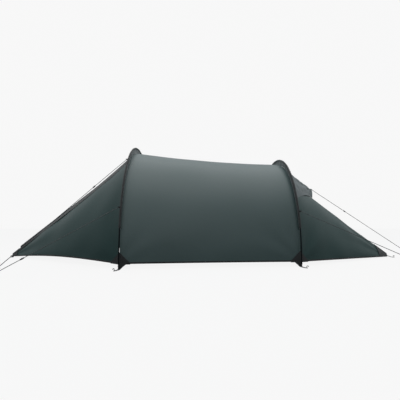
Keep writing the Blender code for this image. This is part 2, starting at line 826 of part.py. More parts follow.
def hem_to_hem(station):
    """A section's arch from its near hem to its far one."""
    limit = station.hem_turn()
    return [station.point(turn) for turn in spread(-limit, limit, INNER_STEPS)]


def build_inner():
    """The canopy, its front door with the slider of its zip, and the groundsheet."""
    stations = inner_stations()
    rows = [hem_to_hem(station) for station in stations]
    sheet("inner_canopy", rows, "inner", INNER_CLOTH)

    outline = bpy.data.curves.new("inner_door", "CURVE")
    outline.dimensions = "2D"
    outline.fill_mode = "BOTH"
    outline.extrude = INNER_CLOTH / 2
    arch = outline.splines.new("POLY")
    arch.points.add(len(rows[0]) - 1)
    arch.use_cyclic_u = True
    for place, point in zip(arch.points, rows[0]):
        place.co = (point.y, point.z, 0, 1)
    door = add_object("inner_door", outline, "inner")
    door_x = stations[0].x - INNER_DOOR_GAP
    door.location = (door_x, 0, 0)
    door.rotation_euler = (math.pi / 2, 0, math.pi / 2)
    slider = block("inner_door_slider", SLIDER_LENGTH, SLIDER_WIDTH, SLIDER_HEIGHT, "plastic")
    reach = INNER_CLOTH / 2 + RUNNING_GAP + SLIDER_HEIGHT / 2
    slider.location = (door_x - reach, 0, DOOR_SLIDER_START)
    slider.rotation_euler = (0, math.pi / 2, 0)

    build_tub(stations)


def build_tub(stations):
    """The groundsheet: a flat floor, and sides that lean out to the canopy's rim."""
    outline = []
    for station in (stations[0], stations[3], stations[-1]):
        rim = station.point(station.hem_turn())
        outline.append((rim.x, abs(rim.y)))
    plan = [(x, -y) for x, y in outline] + [(x, y) for x, y in reversed(outline)]

    def build(shape):
        floor = [shape.verts.new((x, y * TUB_FLOOR_SHARE, 0)) for x, y in plan]
        rim = [shape.verts.new((x, y, TUB_HEIGHT)) for x, y in plan]
        shape.faces.new(floor[::-1])
        for i in range(len(plan)):
            k = (i + 1) % len(plan)
            shape.faces.new((floor[i], floor[k], rim[k], rim[i]))

    tub = add_object("groundsheet_tub", mesh_from("groundsheet_tub", build), "groundsheet")
    solidify(tub, TUB_CLOTH, -1.0)


def clear_scene():
    """Empties the startup scene."""
    for thing in list(bpy.data.objects):
        bpy.data.objects.remove(thing, do_unlink=True)


def main():
    """Builds the whole tent."""
    clear_scene()
    collection(PARTS)
    collection(CUTTERS)
    build_tunnel()
    build_porch()
    build_rear()
    build_vent()
    build_zip()
    build_feet()
    build_tip("front", porch_station, porch_shares()[-2], ZIP_SLOT, -1, FRONT_STRAP)
    build_tip("rear", rear_station, rear_shares()[-2], PANEL_GAP, 1, REAR_STRAP)
    build_guylines()
    build_inner()


main()
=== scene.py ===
"""Looks of a pitched two-hoop tunnel tent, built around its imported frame.

Metres, +Z up. +X runs from the porch to the rear end, and -Y is the near side, where the porch
door is. Cloth pieces are grids of points over the tent's arched sections, closed into thin shells.
"""

import logging
import math
from dataclasses import dataclass
from enum import Enum
from typing import Any

import bpy
import numpy as np
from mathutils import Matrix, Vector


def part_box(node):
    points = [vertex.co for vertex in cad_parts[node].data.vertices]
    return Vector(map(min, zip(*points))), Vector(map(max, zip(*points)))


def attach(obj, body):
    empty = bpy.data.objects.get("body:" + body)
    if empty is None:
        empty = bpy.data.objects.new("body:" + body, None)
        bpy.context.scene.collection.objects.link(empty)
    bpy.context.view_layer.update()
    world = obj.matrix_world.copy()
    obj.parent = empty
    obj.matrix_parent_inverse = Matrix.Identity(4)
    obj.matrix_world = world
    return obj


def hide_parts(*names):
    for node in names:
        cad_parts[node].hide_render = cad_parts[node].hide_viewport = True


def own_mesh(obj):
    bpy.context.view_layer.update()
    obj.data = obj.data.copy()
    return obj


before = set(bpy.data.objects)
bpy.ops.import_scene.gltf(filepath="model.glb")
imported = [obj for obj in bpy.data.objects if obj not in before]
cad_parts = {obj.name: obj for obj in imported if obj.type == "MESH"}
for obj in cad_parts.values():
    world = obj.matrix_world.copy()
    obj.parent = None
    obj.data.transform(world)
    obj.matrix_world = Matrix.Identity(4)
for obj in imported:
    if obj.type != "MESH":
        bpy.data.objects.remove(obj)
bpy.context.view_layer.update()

LOG = logging.getLogger("tunnel_tent")
BODY = "tent"
Grid = np.ndarray
X_AXIS = np.array([1.0, 0.0, 0.0])
Z_AXIS = np.array([0.0, 0.0, 1.0])


class Side(Enum):
    """The two sides of the tent, as the sign of Y."""

    NEAR = -1
    FAR = 1

    @property
    def tag(self) -> str:
        """The side's name in node names."""
        return self.name.lower()


class End(Enum):
    """The two ends of the tent, as the sign of X."""

    FRONT = -1
    REAR = 1

    @property
    def tag(self) -> str:
        """The end's name in node names."""
        return self.name.lower()


# Shader maths --------------------------------------------------------------------------------


class Value:
    """A node socket that can be added, multiplied and compared like a number."""

    def __init__(self, paint: "Paint", socket: Any) -> None:
        """Keeps the socket and the paint whose nodes it belongs to."""
        self.paint = paint
        self.socket = socket

    def _maths(self, operation: str, *others: Any) -> "Value":
        """A Math node on this value and the others."""
        values = dict(enumerate((self, *others)))
        return self.paint.node("ShaderNodeMath", {"operation": operation}, values)

    def __add__(self, other: Any) -> "Value":
        """The sum of the two."""
        return self._maths("ADD", other)

    __radd__ = __add__

    def __mul__(self, other: Any) -> "Value":
        """The product of the two."""
        return self._maths("MULTIPLY", other)

    __rmul__ = __mul__

    def __sub__(self, other: Any) -> "Value":
        """This less the other."""
        return self._maths("SUBTRACT", other)

    def __rsub__(self, other: Any) -> "Value":
        """The other less this."""
        return self.paint.node("ShaderNodeMath", {"operation": "SUBTRACT"}, {0: other, 1: self})

    def __truediv__(self, other: Any) -> "Value":
        """This over the other."""
        return self._maths("DIVIDE", other)

    def __pow__(self, other: Any) -> "Value":
        """This to the power of the other."""
        return self._maths("POWER", other)

    def __gt__(self, other: Any) -> "Value":
        """One where this is above the other, and nought elsewhere."""
        return self._maths("GREATER_THAN", other)

    def __lt__(self, other: Any) -> "Value":
        """One where this is below the other, and nought elsewhere."""
        return self._maths("LESS_THAN", other)

    def sine(self) -> "Value":
        """The sine of an angle in radians."""
        return self._maths("SINE")

    def size(self) -> "Value":
        """The value without its sign."""
        return self._maths("ABSOLUTE")


class Paint:
    """A material's node tree, with one shader that its surface ends in."""

    def __init__(self, name: str) -> None:
        """Makes the material with its Principled shader."""
        self.material = bpy.data.materials.new(name)
        self.material.use_nodes = True
        self.tree = self.material.node_tree
        self.shader = self.tree.nodes["Principled BSDF"]

    def node(
        self,
        kind: str,
        settings: dict[str, Any] | None = None,
        inputs: dict[Any, Any] | None = None,
        output: Any = 0,
    ) -> Value:
        """Adds one node.

        Args:
            kind: The node's type.
            settings: Its own settings, set first.
            inputs: The numbers, colours or links of its sockets, by name or number.
            output: The name or number of the socket to return.

        Returns:
            That output, ready for arithmetic.
        """
        made = self.tree.nodes.new(kind)
        for key, value in (settings or {}).items():
            setattr(made, key, value)
        for key, value in (inputs or {}).items():
            self.put(made.inputs[key], value)
        return Value(self, made.outputs[output])

    def put(self, socket: Any, value: Any) -> None:
        """Links a socket to a value, or sets it to a number or colour."""
        if isinstance(value, Value):
            self.tree.links.new(value.socket, socket)
        else:
            socket.default_value = value

    def finish(self, **values: Any) -> bpy.types.Material:
        """Sets the shader's sockets, with spaces in their names as underlines.

        Returns:
            The finished material.
        """
        for name, value in values.items():
            self.put(self.shader.inputs[name.replace("_", " ")], value)
        return self.material

    def cloth(self) -> tuple[Value, Value]:
        """The two cloth coordinates in metres, along and across, from the piece's own map."""
        flat = self.node("ShaderNodeUVMap", {"uv_map": "Cloth"})
        parts = self.node("ShaderNodeSeparateXYZ", {}, {0: flat})
        return parts, Value(self, parts.socket.node.outputs[1])

    def place(self, scale: float = 1.0) -> Value:
        """The object's own coordinates, scaled."""
        base = self.node("ShaderNodeTexCoord", {}, {}, "Object")
        settings = {"operation": "SCALE"}
        return self.node("ShaderNodeVectorMath", settings, {0: base, "Scale": scale})

    def noise(self, scale: float, detail: float = 4.0, vector: Value | None = None) -> Value:
        """Soft noise from 0 to 1, in cells of one over the scale."""
        source = vector or self.place()
        inputs = {"Vector": source, "Scale": scale, "Detail": detail, "Roughness": 0.55}
        return self.node("ShaderNodeTexNoise", {}, inputs, 0)

    def blend(self, share: Any, first: Any, second: Any) -> Value:
        """A colour this share of the way from the first to the second."""
        inputs = {0: share, 6: first, 7: second}
        return self.node("ShaderNodeMix", {"data_type": "RGBA"}, inputs, 2)

    def ridge(self, along: Value, pitch: float, sharpness: float) -> Value:
        """One on evenly spaced lines and nought between: a cosine squared, raised to a power."""
        wave = (along * (math.pi / pitch)).sine().size()
        return wave**sharpness

    def bump(self, height: Value, distance: float, strength: float = 1.0) -> Value:
        """A normal bent by a height."""
        inputs = {"Height": height, "Distance": distance, "Strength": strength}
        return self.node("ShaderNodeBump", {}, inputs)


Colour = tuple[float, float, float, float]


@dataclass(frozen=True)
class RipstopCloth:
    """Coated ripstop nylon: a fine plain weave with thicker threads in a square grid."""

    name: str
    colour: Colour
    pale: Colour
    roughness: float = 0.46
    grid_pitch: float = 0.0055
    thread_pitch: float = 0.0009
    sheen: float = 0.10
    specular: float = 0.55

    def make(self) -> bpy.types.Material:
        """Builds the material."""
        paint = Paint(self.name)
        along, across = paint.cloth()
        thick = paint.ridge(along, self.grid_pitch, 24) + paint.ridge(across, self.grid_pitch, 24)
        fine = paint.ridge(along, self.thread_pitch, 2) * paint.ridge(across, self.thread_pitch, 2)
        cloudy = paint.noise(2.6, 5)
        crinkle = paint.noise(34.0, 6)
        share = cloudy * 0.55 + crinkle * 0.18 + thick * 0.10 - 0.16
        height = thick * 0.5 + fine * 0.25
        weave = paint.bump(height, 0.00012, 0.5)
        creased = paint.node(
            "ShaderNodeBump",
            {},
            {"Height": crinkle, "Distance": 0.0010, "Strength": 0.35, "Normal": weave},
        )
        return paint.finish(
            Base_Color=paint.blend(share, self.colour, self.pale),
            Roughness=self.roughness + cloudy * 0.10 - thick * 0.05,
            Specular_IOR_Level=self.specular,
            Sheen_Weight=self.sheen,
            Sheen_Roughness=0.4,
            Normal=creased,
        )


@dataclass(frozen=True)
class PlainCloth:
    """Heavier woven cloth or webbing, with ribs across it and a worn, paler bloom on them."""

    name: str
    colour: Colour
    pale: Colour
    rib: float = 0.0016
    wale: float = 0.0011
    roughness: float = 0.78
    depth: float = 0.00025

    def make(self) -> bpy.types.Material:
        """Builds the material."""
        paint = Paint(self.name)
        along, across = paint.cloth()
        ribs = paint.ridge(along, self.rib, 1.5)
        wales = paint.ridge(across, self.wale, 1.5)
        weave = ribs * 0.6 + wales * 0.4
        dust = paint.noise(22.0, 6)
        return paint.finish(
            Base_Color=paint.blend(weave * 0.35 + dust * 0.35, self.colour, self.pale),
            Roughness=self.roughness + dust * 0.12,
            Sheen_Weight=0.15,
            Normal=paint.bump(weave, self.depth, 0.7),
        )


@dataclass(frozen=True)
class SleeveCloth(PlainCloth):
    """Plain cloth that is dark down the sides of the tent and paler over its crown, where a painted
    highlight stands in for the overhead light.
    """

    # Painted highlight: the paler colour over the crown, where the light from above falls.
    crown: Colour = (0.085, 0.103, 0.105, 1.0)
    crown_half: float = 0.13
    fade: float = 0.10

    def make(self) -> bpy.types.Material:
        """Builds the material: the painted highlight's paler colour fades out with the distance from the
        middle.
        """
        paint = Paint(self.name)
        along, across = paint.cloth()
        weave = paint.ridge(along, self.rib, 1.5) * 0.6 + paint.ridge(across, self.wale, 1.5) * 0.4
        dust = paint.noise(22.0, 6)
        out = paint.node("ShaderNodeSeparateXYZ", {}, {0: paint.place()}, 1).size()
        near_middle = 1.0 - (out - self.crown_half) / self.fade
        # Painted highlight: the crown's share of the paler colour, broken up by the dust noise.
        crown_highlight = paint.node("ShaderNodeClamp", {}, {0: near_middle - dust * 0.6})
        dark = paint.blend(weave * 0.35 + dust * 0.35, self.colour, self.pale)
        return paint.finish(
            Base_Color=paint.blend(crown_highlight, dark, self.crown),
            Roughness=self.roughness + dust * 0.12,
            Sheen_Weight=0.15,
            Normal=paint.bump(weave, self.depth, 0.7),
        )


@dataclass(frozen=True)
class BraidedCord:
    """Braided guyline: crossing strands round the cord, with paler tracer strands."""

    name: str
    colour: Colour
    tracer: Colour
    strand: float = 0.0030

    def make(self) -> bpy.types.Material:
        """Builds the material."""
        paint = Paint(self.name)
        along, around = paint.cloth()
        left = paint.ridge(along + around * 2.0, self.strand, 1.2)
        right = paint.ridge(along - around * 2.0, self.strand, 1.2)
        braid = left * 0.5 + right * 0.5
        flecks = paint.ridge(along - around * 2.0, self.strand * 4, 10)
        return paint.finish(
            Base_Color=paint.blend(flecks * 0.7, self.colour, self.tracer),
            Roughness=0.62 + braid * 0.15,
            Sheen_Weight=0.2,
            Normal=paint.bump(braid, 0.0003, 0.8),
        )


@dataclass(frozen=True)
class BrushedAlloy:
    """Drawn or wire alloy, bare or anodised, with fine scratches and duller handled spots."""

    name: str
    colour: Colour
    pale: Colour
    roughness: float = 0.30

    def make(self) -> bpy.types.Material:
        """Builds the material."""
        paint = Paint(self.name)
        spots = paint.noise(60.0, 4)
        fine = paint.noise(900.0, 3)
        return paint.finish(
            Base_Color=paint.blend(spots * 0.5, self.colour, self.pale),
            Metallic=1.0,
            Roughness=self.roughness + spots * 0.12 + fine * 0.08,
            Normal=paint.bump(fine, 0.00006, 0.4),
        )


@dataclass(frozen=True)
class MouldedPlastic:
    """Moulded nylon with a fine spark-eroded grain and slightly shiny high spots."""

    name: str
    colour: Colour
    roughness: float = 0.42

    def make(self) -> bpy.types.Material:
        """Builds the material."""
        paint = Paint(self.name)
        grain = paint.noise(1600.0, 3)
        worn = paint.noise(90.0, 3)
        lighter = tuple(min(1.0, channel * 1.8 + 0.01) for channel in self.colour[:3]) + (1.0,)
        return paint.finish(
            Base_Color=paint.blend(worn * 0.5, self.colour, lighter),
            Roughness=self.roughness + grain * 0.15 - worn * 0.06,
            Normal=paint.bump(grain, 0.00005, 0.5),
        )


@dataclass(frozen=True)
class InsectMesh:
    """Fine dark netting: threads on a square grid, with open holes between them."""

    name: str
    colour: Colour
    pitch: float = 0.0016

    def make(self) -> bpy.types.Material:
        """Builds the material."""
        paint = Paint(self.name)
        along, across = paint.cloth()
        threads = paint.ridge(along, self.pitch, 3) + paint.ridge(across, self.pitch, 3)
        paint.material.surface_render_method = "DITHERED"
        return paint.finish(
            Base_Color=paint.blend(threads * 0.4, self.colour, (0.06, 0.065, 0.07, 1.0)),
            Roughness=0.85,
            Alpha=(threads > 0.45) * 0.9 + 0.1,
        )


@dataclass(frozen=True)
class ZipTape:
    """Coil zip: a ribbed tape with a row of interlocked teeth down its middle."""

    name: str
    colour: Colour
    tooth_pitch: float = 0.0022
    teeth_half: float = 0.0022

    def make(self) -> bpy.types.Material:
        """Builds the material, on object coordinates because the tape is a plain flat strip."""
        paint = Paint(self.name)
        parts = paint.node("ShaderNodeSeparateXYZ", {}, {0: paint.place()})
        outward = Value(paint, parts.socket.node.outputs[1]).size()
        middle = outward < self.teeth_half
        teeth = paint.ridge(parts, self.tooth_pitch, 1.0)
        ribs = paint.ridge(outward, 0.0008, 1.0)
        height = middle * teeth + (1.0 - middle) * ribs * 0.2
        return paint.finish(
            Base_Color=paint.blend(middle * teeth * 0.6, self.colour, (0.05, 0.052, 0.055, 1.0)),
            Roughness=0.75 - middle * 0.3,
            Normal=paint.bump(height, 0.0005, 0.8),
        )


class Finishes:
    """Every material of the tent, each made once."""

    def __init__(self) -> None:
        """Makes the materials."""
        grey_green = (0.022, 0.045, 0.045, 1.0)
        bloom = (0.036, 0.066, 0.067, 1.0)
        self.fly = RipstopCloth("fly_ripstop", grey_green, bloom).make()
        # Painted shade: a darker, less glossy copy of the fly's ripstop for the porch and rear panels. It
        # stands in for the light that these sloping, hollow ends get less of; the real fly is one cloth.
        self.end_fly = RipstopCloth(
            "end_ripstop", (0.008, 0.030, 0.029, 1), (0.018, 0.046, 0.044, 1), specular=0.26
        ).make()
        self.fin = RipstopCloth(
            "sleeve_fin_ripstop", (0.060, 0.075, 0.078, 1), (0.105, 0.125, 0.128, 1)
        ).make()
        self.hood = RipstopCloth("hood_ripstop", (0.026, 0.042, 0.046, 1), (0.085, 0.105, 0.108, 1)).make()
        self.inner = RipstopCloth(
            "inner_nylon", (0.40, 0.41, 0.40, 1), (0.50, 0.51, 0.50, 1), roughness=0.7
        ).make()
        self.groundsheet = RipstopCloth(
            "coated_groundsheet", (0.66, 0.67, 0.67, 1), (0.76, 0.77, 0.77, 1), roughness=0.5
        ).make()
        self.sleeve = SleeveCloth(
            "sleeve_cloth", (0.003, 0.004, 0.005, 1), (0.008, 0.010, 0.011, 1)
        ).make()
        self.patch = PlainCloth(
            "reinforcing_cloth", (0.003, 0.004, 0.005, 1), (0.009, 0.011, 0.012, 1), rib=0.0021
        ).make()
        self.webbing = PlainCloth(
            "nylon_webbing", (0.003, 0.004, 0.005, 1), (0.012, 0.014, 0.015, 1), wale=0.0030, depth=0.0005
        ).make()
        self.cord = BraidedCord("braided_guyline", (0.018, 0.022, 0.023, 1), (0.12, 0.13, 0.13, 1)).make()
        self.pole = BrushedAlloy("anodised_pole", (0.006, 0.008, 0.010, 1), (0.02, 0.022, 0.025, 1)).make()
        self.peg = BrushedAlloy("dark_peg_alloy", (0.018, 0.020, 0.022, 1), (0.06, 0.063, 0.066, 1)).make()
        self.plastic = MouldedPlastic("moulded_plastic", (0.012, 0.012, 0.013, 1)).make()
        self.netting = InsectMesh("insect_netting", (0.012, 0.014, 0.016, 1)).make()
        self.zip_tape = ZipTape("coil_zip", (0.010, 0.011, 0.012, 1)).make()


# Shapes --------------------------------------------------------------------------------------


def mix(first: Any, last: Any, share: Any) -> Any:
    """The value this share of the way from the first to the last."""
    return first + (last - first) * share


def unit(vectors: Grid) -> Grid:
    """Each vector at a length of one."""
    return vectors / np.maximum(np.linalg.norm(vectors, axis=-1, keepdims=True), 1e-12)


def surface_normals(grid: Grid) -> Grid:
    """The normal at each point: the way along the rows crossed with the way across them."""
    return unit(np.cross(np.gradient(grid, axis=0), np.gradient(grid, axis=1)))


def cloth_map(grid: Grid) -> Grid:
    """Cloth coordinates in metres: run along each column, and run across each row from its middle."""
    along = np.linalg.norm(np.diff(grid, axis=0), axis=-1).cumsum(axis=0)
    across = np.linalg.norm(np.diff(grid, axis=1), axis=-1).cumsum(axis=1)
    along = np.concatenate([np.zeros((1, grid.shape[1])), along])
    across = np.concatenate([np.zeros((grid.shape[0], 1)), across], axis=1)
    middle = across[:, grid.shape[1] // 2][:, None]
    return np.stack([along, across - middle], axis=-1)


def cut_size(grid: Grid) -> tuple[tuple[float, float], float]:
    """What a sheet was cut to.

    Args:
        grid: The sheet's points.

    Returns:
        The longest run across and along it, and its area: half the cross product of each
        cell's diagonals, summed.
    """
    across = np.linalg.norm(np.diff(grid, axis=1), axis=-1).sum(axis=1).max()
    along = np.linalg.norm(np.diff(grid, axis=0), axis=-1).sum(axis=0).max()
    first = grid[1:, 1:] - grid[:-1, :-1]
    second = grid[1:, :-1] - grid[:-1, 1:]
    area = np.linalg.norm(np.cross(first, second), axis=-1).sum() / 2
    return (float(across), float(along)), float(min(area, across * along))


def make_mesh(name: str, points: Grid, faces: list[Grid], flat: Grid) -> bpy.types.Object:
    """Puts points and faces into a smooth-shaded object at the origin.

    Args:
        name: The piece's name.
        points: Its points.
        faces: Arrays of corners, one for each number of sides.
        flat: Cloth coordinates, one pair for each point.

    Returns:
        The object, linked to the scene.
    """
    mesh = bpy.data.meshes.new(name)
    corners = np.concatenate([part.ravel() for part in faces]).astype(np.int32)
    sizes = np.concatenate([np.full(len(part), part.shape[1]) for part in faces])
    mesh.vertices.add(len(points))
    mesh.vertices.foreach_set("co", points.astype(np.float32).ravel())
    mesh.loops.add(len(corners))
    mesh.loops.foreach_set("vertex_index", corners)
    mesh.polygons.add(len(sizes))
    mesh.polygons.foreach_set("loop_start", (np.cumsum(sizes) - sizes).astype(np.int32))
    mesh.polygons.foreach_set("use_smooth", np.ones(len(sizes), bool))
    mesh.uv_layers.new(name="Cloth").data.foreach_set("uv", flat[corners].astype(np.float32).ravel())
    mesh.update(calc_edges=True)
    mesh.set_sharp_from_angle(angle=math.radians(50))
    piece = bpy.data.objects.new(name, mesh)
    bpy.context.scene.collection.objects.link(piece)
    return piece


def shell(name: str, grid: Grid, thickness: float, flat: Grid | None = None) -> bpy.types.Object:
    """A thin closed sheet: the grid, a copy moved inwards along its normals, and a rim between.

    Args:
        name: The piece's name.
        grid: Points whose rows run along the tent and whose columns run from near to far.
        thickness: The cloth's thickness.
        flat: Cloth coordinates, if they aren't the grid's own.

    Returns:
        The object.
    """
    rows, columns = grid.shape[:2]
    count = rows * columns
    inside = grid - surface_normals(grid) * thickness
    points = np.concatenate([grid.reshape(-1, 3), inside.reshape(-1, 3)])
    corner = (np.arange(rows - 1)[:, None] * columns + np.arange(columns - 1)).ravel()
    outer = np.stack([corner, corner + columns, corner + columns + 1, corner + 1], axis=1)
    start = np.concatenate(
        [
            np.arange(rows) * columns,
            (rows - 1) * columns + np.arange(1, columns),
            np.arange(rows - 2, -1, -1) * columns + columns - 1,
            np.arange(columns - 2, 0, -1),
        ]
    )
    after = np.roll(start, -1)
    rim = np.stack([after, start, start + count, after + count], axis=1)
    pairs = (cloth_map(grid) if flat is None else flat).reshape(-1, 2)
    faces = [np.concatenate([outer, outer[:, ::-1] + count, rim])]
    return make_mesh(name, points, faces, np.concatenate([pairs, pairs]))


def tube(
    name: str,
    path: Grid,
    radius: Any,
    sides: int = 12,
    up: Grid = Z_AXIS,
    flatten: float = 1.0,
) -> bpy.types.Object:
    """A round bar: circles about each point of a path, square to it, closed by flat ends.

    Args:
        name: The piece's name.
        path: The centreline's points.
        radius: One radius, or one for each point.
        sides: Points in each circle.
        up: A direction never along the path, which sets where each circle starts.
        flatten: Its width along the up direction, as a share of its width across.

    Returns:
        The object.
    """
    tangent = unit(np.gradient(path, axis=0))
    across = unit(np.cross(tangent, up))
    rise = np.cross(across, tangent)
    angle = np.linspace(0, 2 * math.pi, sides, endpoint=False)
    reach = np.broadcast_to(np.asarray(radius, float), (len(path),))[:, None, None]
    circle = across[:, None] * np.cos(angle)[:, None] + rise[:, None] * np.sin(angle)[:, None] * flatten
    points = (path[:, None] + circle * reach).reshape(-1, 3)
    ring = np.arange(len(path) - 1)[:, None] * sides
    here = np.arange(sides)
    after = (here + 1) % sides
    walls = np.stack([ring + here, ring + after, ring + sides + after, ring + sides + here], axis=-1)
    walls = walls.reshape(-1, 4)[:, ::-1]
    caps = np.stack([here, here[::-1] + (len(path) - 1) * sides])
    run = np.concatenate([[0.0], np.linalg.norm(np.diff(path, axis=0), axis=1).cumsum()])
    around = angle / (2 * math.pi) * 0.0094
    flat = np.stack(np.broadcast_arrays(run[:, None], around[None]), axis=-1).reshape(-1, 2)
    if np.linalg.det(np.stack([across[0], rise[0], tangent[0]])) > 0:
        walls, caps = walls[:, ::-1], caps[:, ::-1]
    return make_mesh(name, points, [walls, caps], flat)


def smooth_path(points: Grid, steps: int) -> Grid:
    """A round-cornered path through points: a Catmull-Rom curve, sampled evenly in each span."""
    ends = np.concatenate([2 * points[:1] - points[1:2], points, 2 * points[-1:] - points[-2:-1]])
    share = np.linspace(0, 1, steps, endpoint=False)[None, :, None]
    before, first, last, beyond = (ends[k : len(ends) - 3 + k][:, None] for k in range(4))
    curve = (
        2 * first
        + (last - before) * share
        + (2 * before - 5 * first + 4 * last - beyond) * share**2
        + (3 * first - before - 3 * last + beyond) * share**3
    ) / 2
    return np.concatenate([curve.reshape(-1, 3), points[-1:]])


@dataclass(frozen=True)
class Sections:
    """Arched cross-sections of the fly, one for each entry of its arrays."""

    x: Grid
    half_width: Grid
    top: Grid
    hem: Grid
    power: Grid

    def points(self, turn: Grid) -> Grid:
        """Points at a turn from the crown, in quarter turns, negative on the near side.

        Out from the middle it is the half width times the sine to the power 2/p, and up it
        is the top times the cosine to the power 2/p.
        """
        angle = np.minimum(np.abs(turn), 1.0) * math.pi / 2
        out = self.half_width * np.sin(angle) ** (2 / self.power) * np.sign(turn)
        up = self.top * np.maximum(np.cos(angle), 0.0) ** (2 / self.power)
        x = np.broadcast_to(self.x, out.shape)
        return np.stack([x, out, up], axis=-1)

    def turn_at(self, height: Any) -> Grid:
        """The turn at which each arch is this high."""
        share = np.clip(height / self.top, 0.0, 1.0)
        return np.arccos(share ** (self.power / 2)) / (math.pi / 2)


SECTION_FIELDS = ("x", "half_width", "top", "hem", "power")


@dataclass(frozen=True)
class Hoop:
    """A hoop pole's arch."""

    end: End
    x: float
    half_width: float
    height: float
    power: float

    def points(self, turn: Grid) -> Grid:
        """The pole's centreline at a turn from the crown."""
        one = np.ones_like(turn)
        arch = Sections(one * self.x, one * self.half_width, one * self.height, one, one * self.power)
        return arch.points(turn)

    def turn_at(self, height: float) -> float:
        """The turn at which the pole is this high."""
        return math.acos((height / self.height) ** (self.power / 2)) / (math.pi / 2)

    def turn_out(self, out: float) -> float:
        """The turn at which the pole is this far from the middle."""
        return math.asin((out / self.half_width) ** (self.power / 2)) / (math.pi / 2)


@dataclass(frozen=True)
class TentShape:
    """The fly's driving sizes, with its hoops and tips taken from the frame."""

    pole_radius: float = 0.00425
    arch_power: float = 2.1
    stand_off_top: float = 0.045
    stand_off_side: float = 0.022
    ridge_sag: float = 0.018
    waist: float = 0.012
    hem: float = 0.037
    front_tip: tuple[float, float] = (0.012, 0.036)
    rear_tip: tuple[float, float] = (0.011, 0.040)
    tip_half_width: float = 0.016
    porch_hem_arch: float = 0.026
    tip_power: float = 1.25
    sharpening: float = 0.6
    rear_crown: float = 0.825
    hood_end: float = 0.32
    mouth_lift: float = 0.088
    hood_clearance: float = 0.0035
    hoop_gap: float = 0.0024

    def hoop(self, end: End) -> Hoop:
        """The pole at one end, from its node's box."""
        low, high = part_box(f"pole_{end.tag}")
        middle = (low[0] + high[0]) / 2
        reach = high[1] - self.pole_radius
        return Hoop(end, middle, reach, high[2] - self.pole_radius, self.arch_power)

    def tip_x(self, end: End) -> float:
        """Where the fly's tip is at one end."""
        low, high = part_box("porch_wall_far" if end is End.FRONT else "rear_panel_far")
        return low[0] if end is End.FRONT else high[0]

    def tip_heights(self, end: End) -> tuple[float, float]:
        """The heights of a tip's hem and of its ridge."""
        return self.front_tip if end is End.FRONT else self.rear_tip

    def tunnel(self, share: Grid) -> Sections:
        """Sections between the hoops, from share 0 at the front one to 1 at the rear one.

        The crown dips and the sides draw in by a parabola that is nought at both hoops.
        """
        front, rear = self.hoop(End.FRONT), self.hoop(End.REAR)
        bow = 4 * share * (1 - share)
        one = np.ones_like(share)
        return Sections(
            mix(front.x, rear.x, share),
            mix(front.half_width, rear.half_width, share) - self.stand_off_side - self.waist * bow,
            mix(front.height, rear.height, share) - self.stand_off_top - self.ridge_sag * bow,
            self.hem * one,
            self.arch_power * one,
        )

    def end_part(self, end: End, share: Grid) -> Sections:
        """Sections of the porch or of the rear end, from share 0 at the hoop to 1 at the tip."""
        hoop = self.hoop(end)
        tip_hem, tip_top = self.tip_heights(end)
        front = end is End.FRONT
        top = hoop.height - self.stand_off_top if front else self.rear_crown
        arch = self.porch_hem_arch * np.sin(math.pi * share) if front else 0.0
        return Sections(
            mix(hoop.x + end.value * self.hoop_gap, self.tip_x(end), share),
            mix(hoop.half_width - self.stand_off_side, self.tip_half_width, share),
            mix(top, tip_top, share),
            mix(self.hem, tip_hem, share) + arch,
            mix(self.arch_power, self.tip_power, share**self.sharpening),
        )


SHAPE = TentShape()


@dataclass(frozen=True)
class Pull:
    """Creases that fan out from where the cloth is held."""

    along: float
    across: float
    folds: float
    depth: float
    reach: float
    phase: float = 0.0

    def height(self, flat: Grid) -> Grid:
        """A cosine of the bearing about the hold, fading as the bell of the distance to it."""
        way = flat - np.array([self.along, self.across])
        distance = np.linalg.norm(way, axis=-1)
        bearing = np.arctan2(way[..., 1], way[..., 0])
        fade = np.exp(-((distance / self.reach) ** 2)) * distance / (distance + 0.3 * self.reach)
        return self.depth * np.cos(self.folds * bearing + self.phase) * fade


def ripples(flat: Grid, seed: int, length: float, depth: float, count: int = 7) -> Grid:
    """Slack in the cloth: a sum of waves of about one length in random directions."""
    random = np.random.default_rng(seed)
    angle = random.uniform(0, math.pi, count)
    number = 2 * math.pi / length * random.uniform(0.6, 1.6, count)
    phase = random.uniform(0, 2 * math.pi, count)
    way = flat[..., :1] * np.cos(angle) + flat[..., 1:] * np.sin(angle)
    return depth / math.sqrt(count) * np.sin(way * number + phase).sum(axis=-1)


def edge_fade(rows: int, columns: int, share: float = 0.05) -> Grid:
    """Nought along all four edges of a grid and one inside, rising over a share of its width."""
    first = np.linspace(0, 1, rows)
    second = np.linspace(0, 1, columns)
    rise_rows = np.clip(np.minimum(first, 1 - first) / share, 0, 1)[:, None]
    rise_columns = np.clip(np.minimum(second, 1 - second) / share, 0, 1)[None]
    return rise_rows * rise_columns


def raised(grid: Grid, height: Grid) -> Grid:
    """The grid moved along its normals by a height, with its edges left where they are."""
    lift = height * edge_fade(*grid.shape[:2])
    return grid + surface_normals(grid) * lift[..., None]


def dress(
    piece: bpy.types.Object, material: bpy.types.Material, slot: str, *nodes: str, body: str = BODY
) -> bpy.types.Object:
    """Gives a new piece its material and its body, and hides the frame nodes that it stands for."""
    piece.data.materials.append(material)
    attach(piece, body)
    if nodes:
        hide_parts(*nodes)
    LOG.info("made %s", piece.name)
    return piece


def repaint(node: str, material: bpy.types.Material) -> None:
    """Gives a frame node, whose shape is right, its material."""
    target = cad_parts[node]
    for slot in target.material_slots:
        slot.material = material
    LOG.info("dressed %s", node)


# Fly -----------------------------------------------------------------------------------------


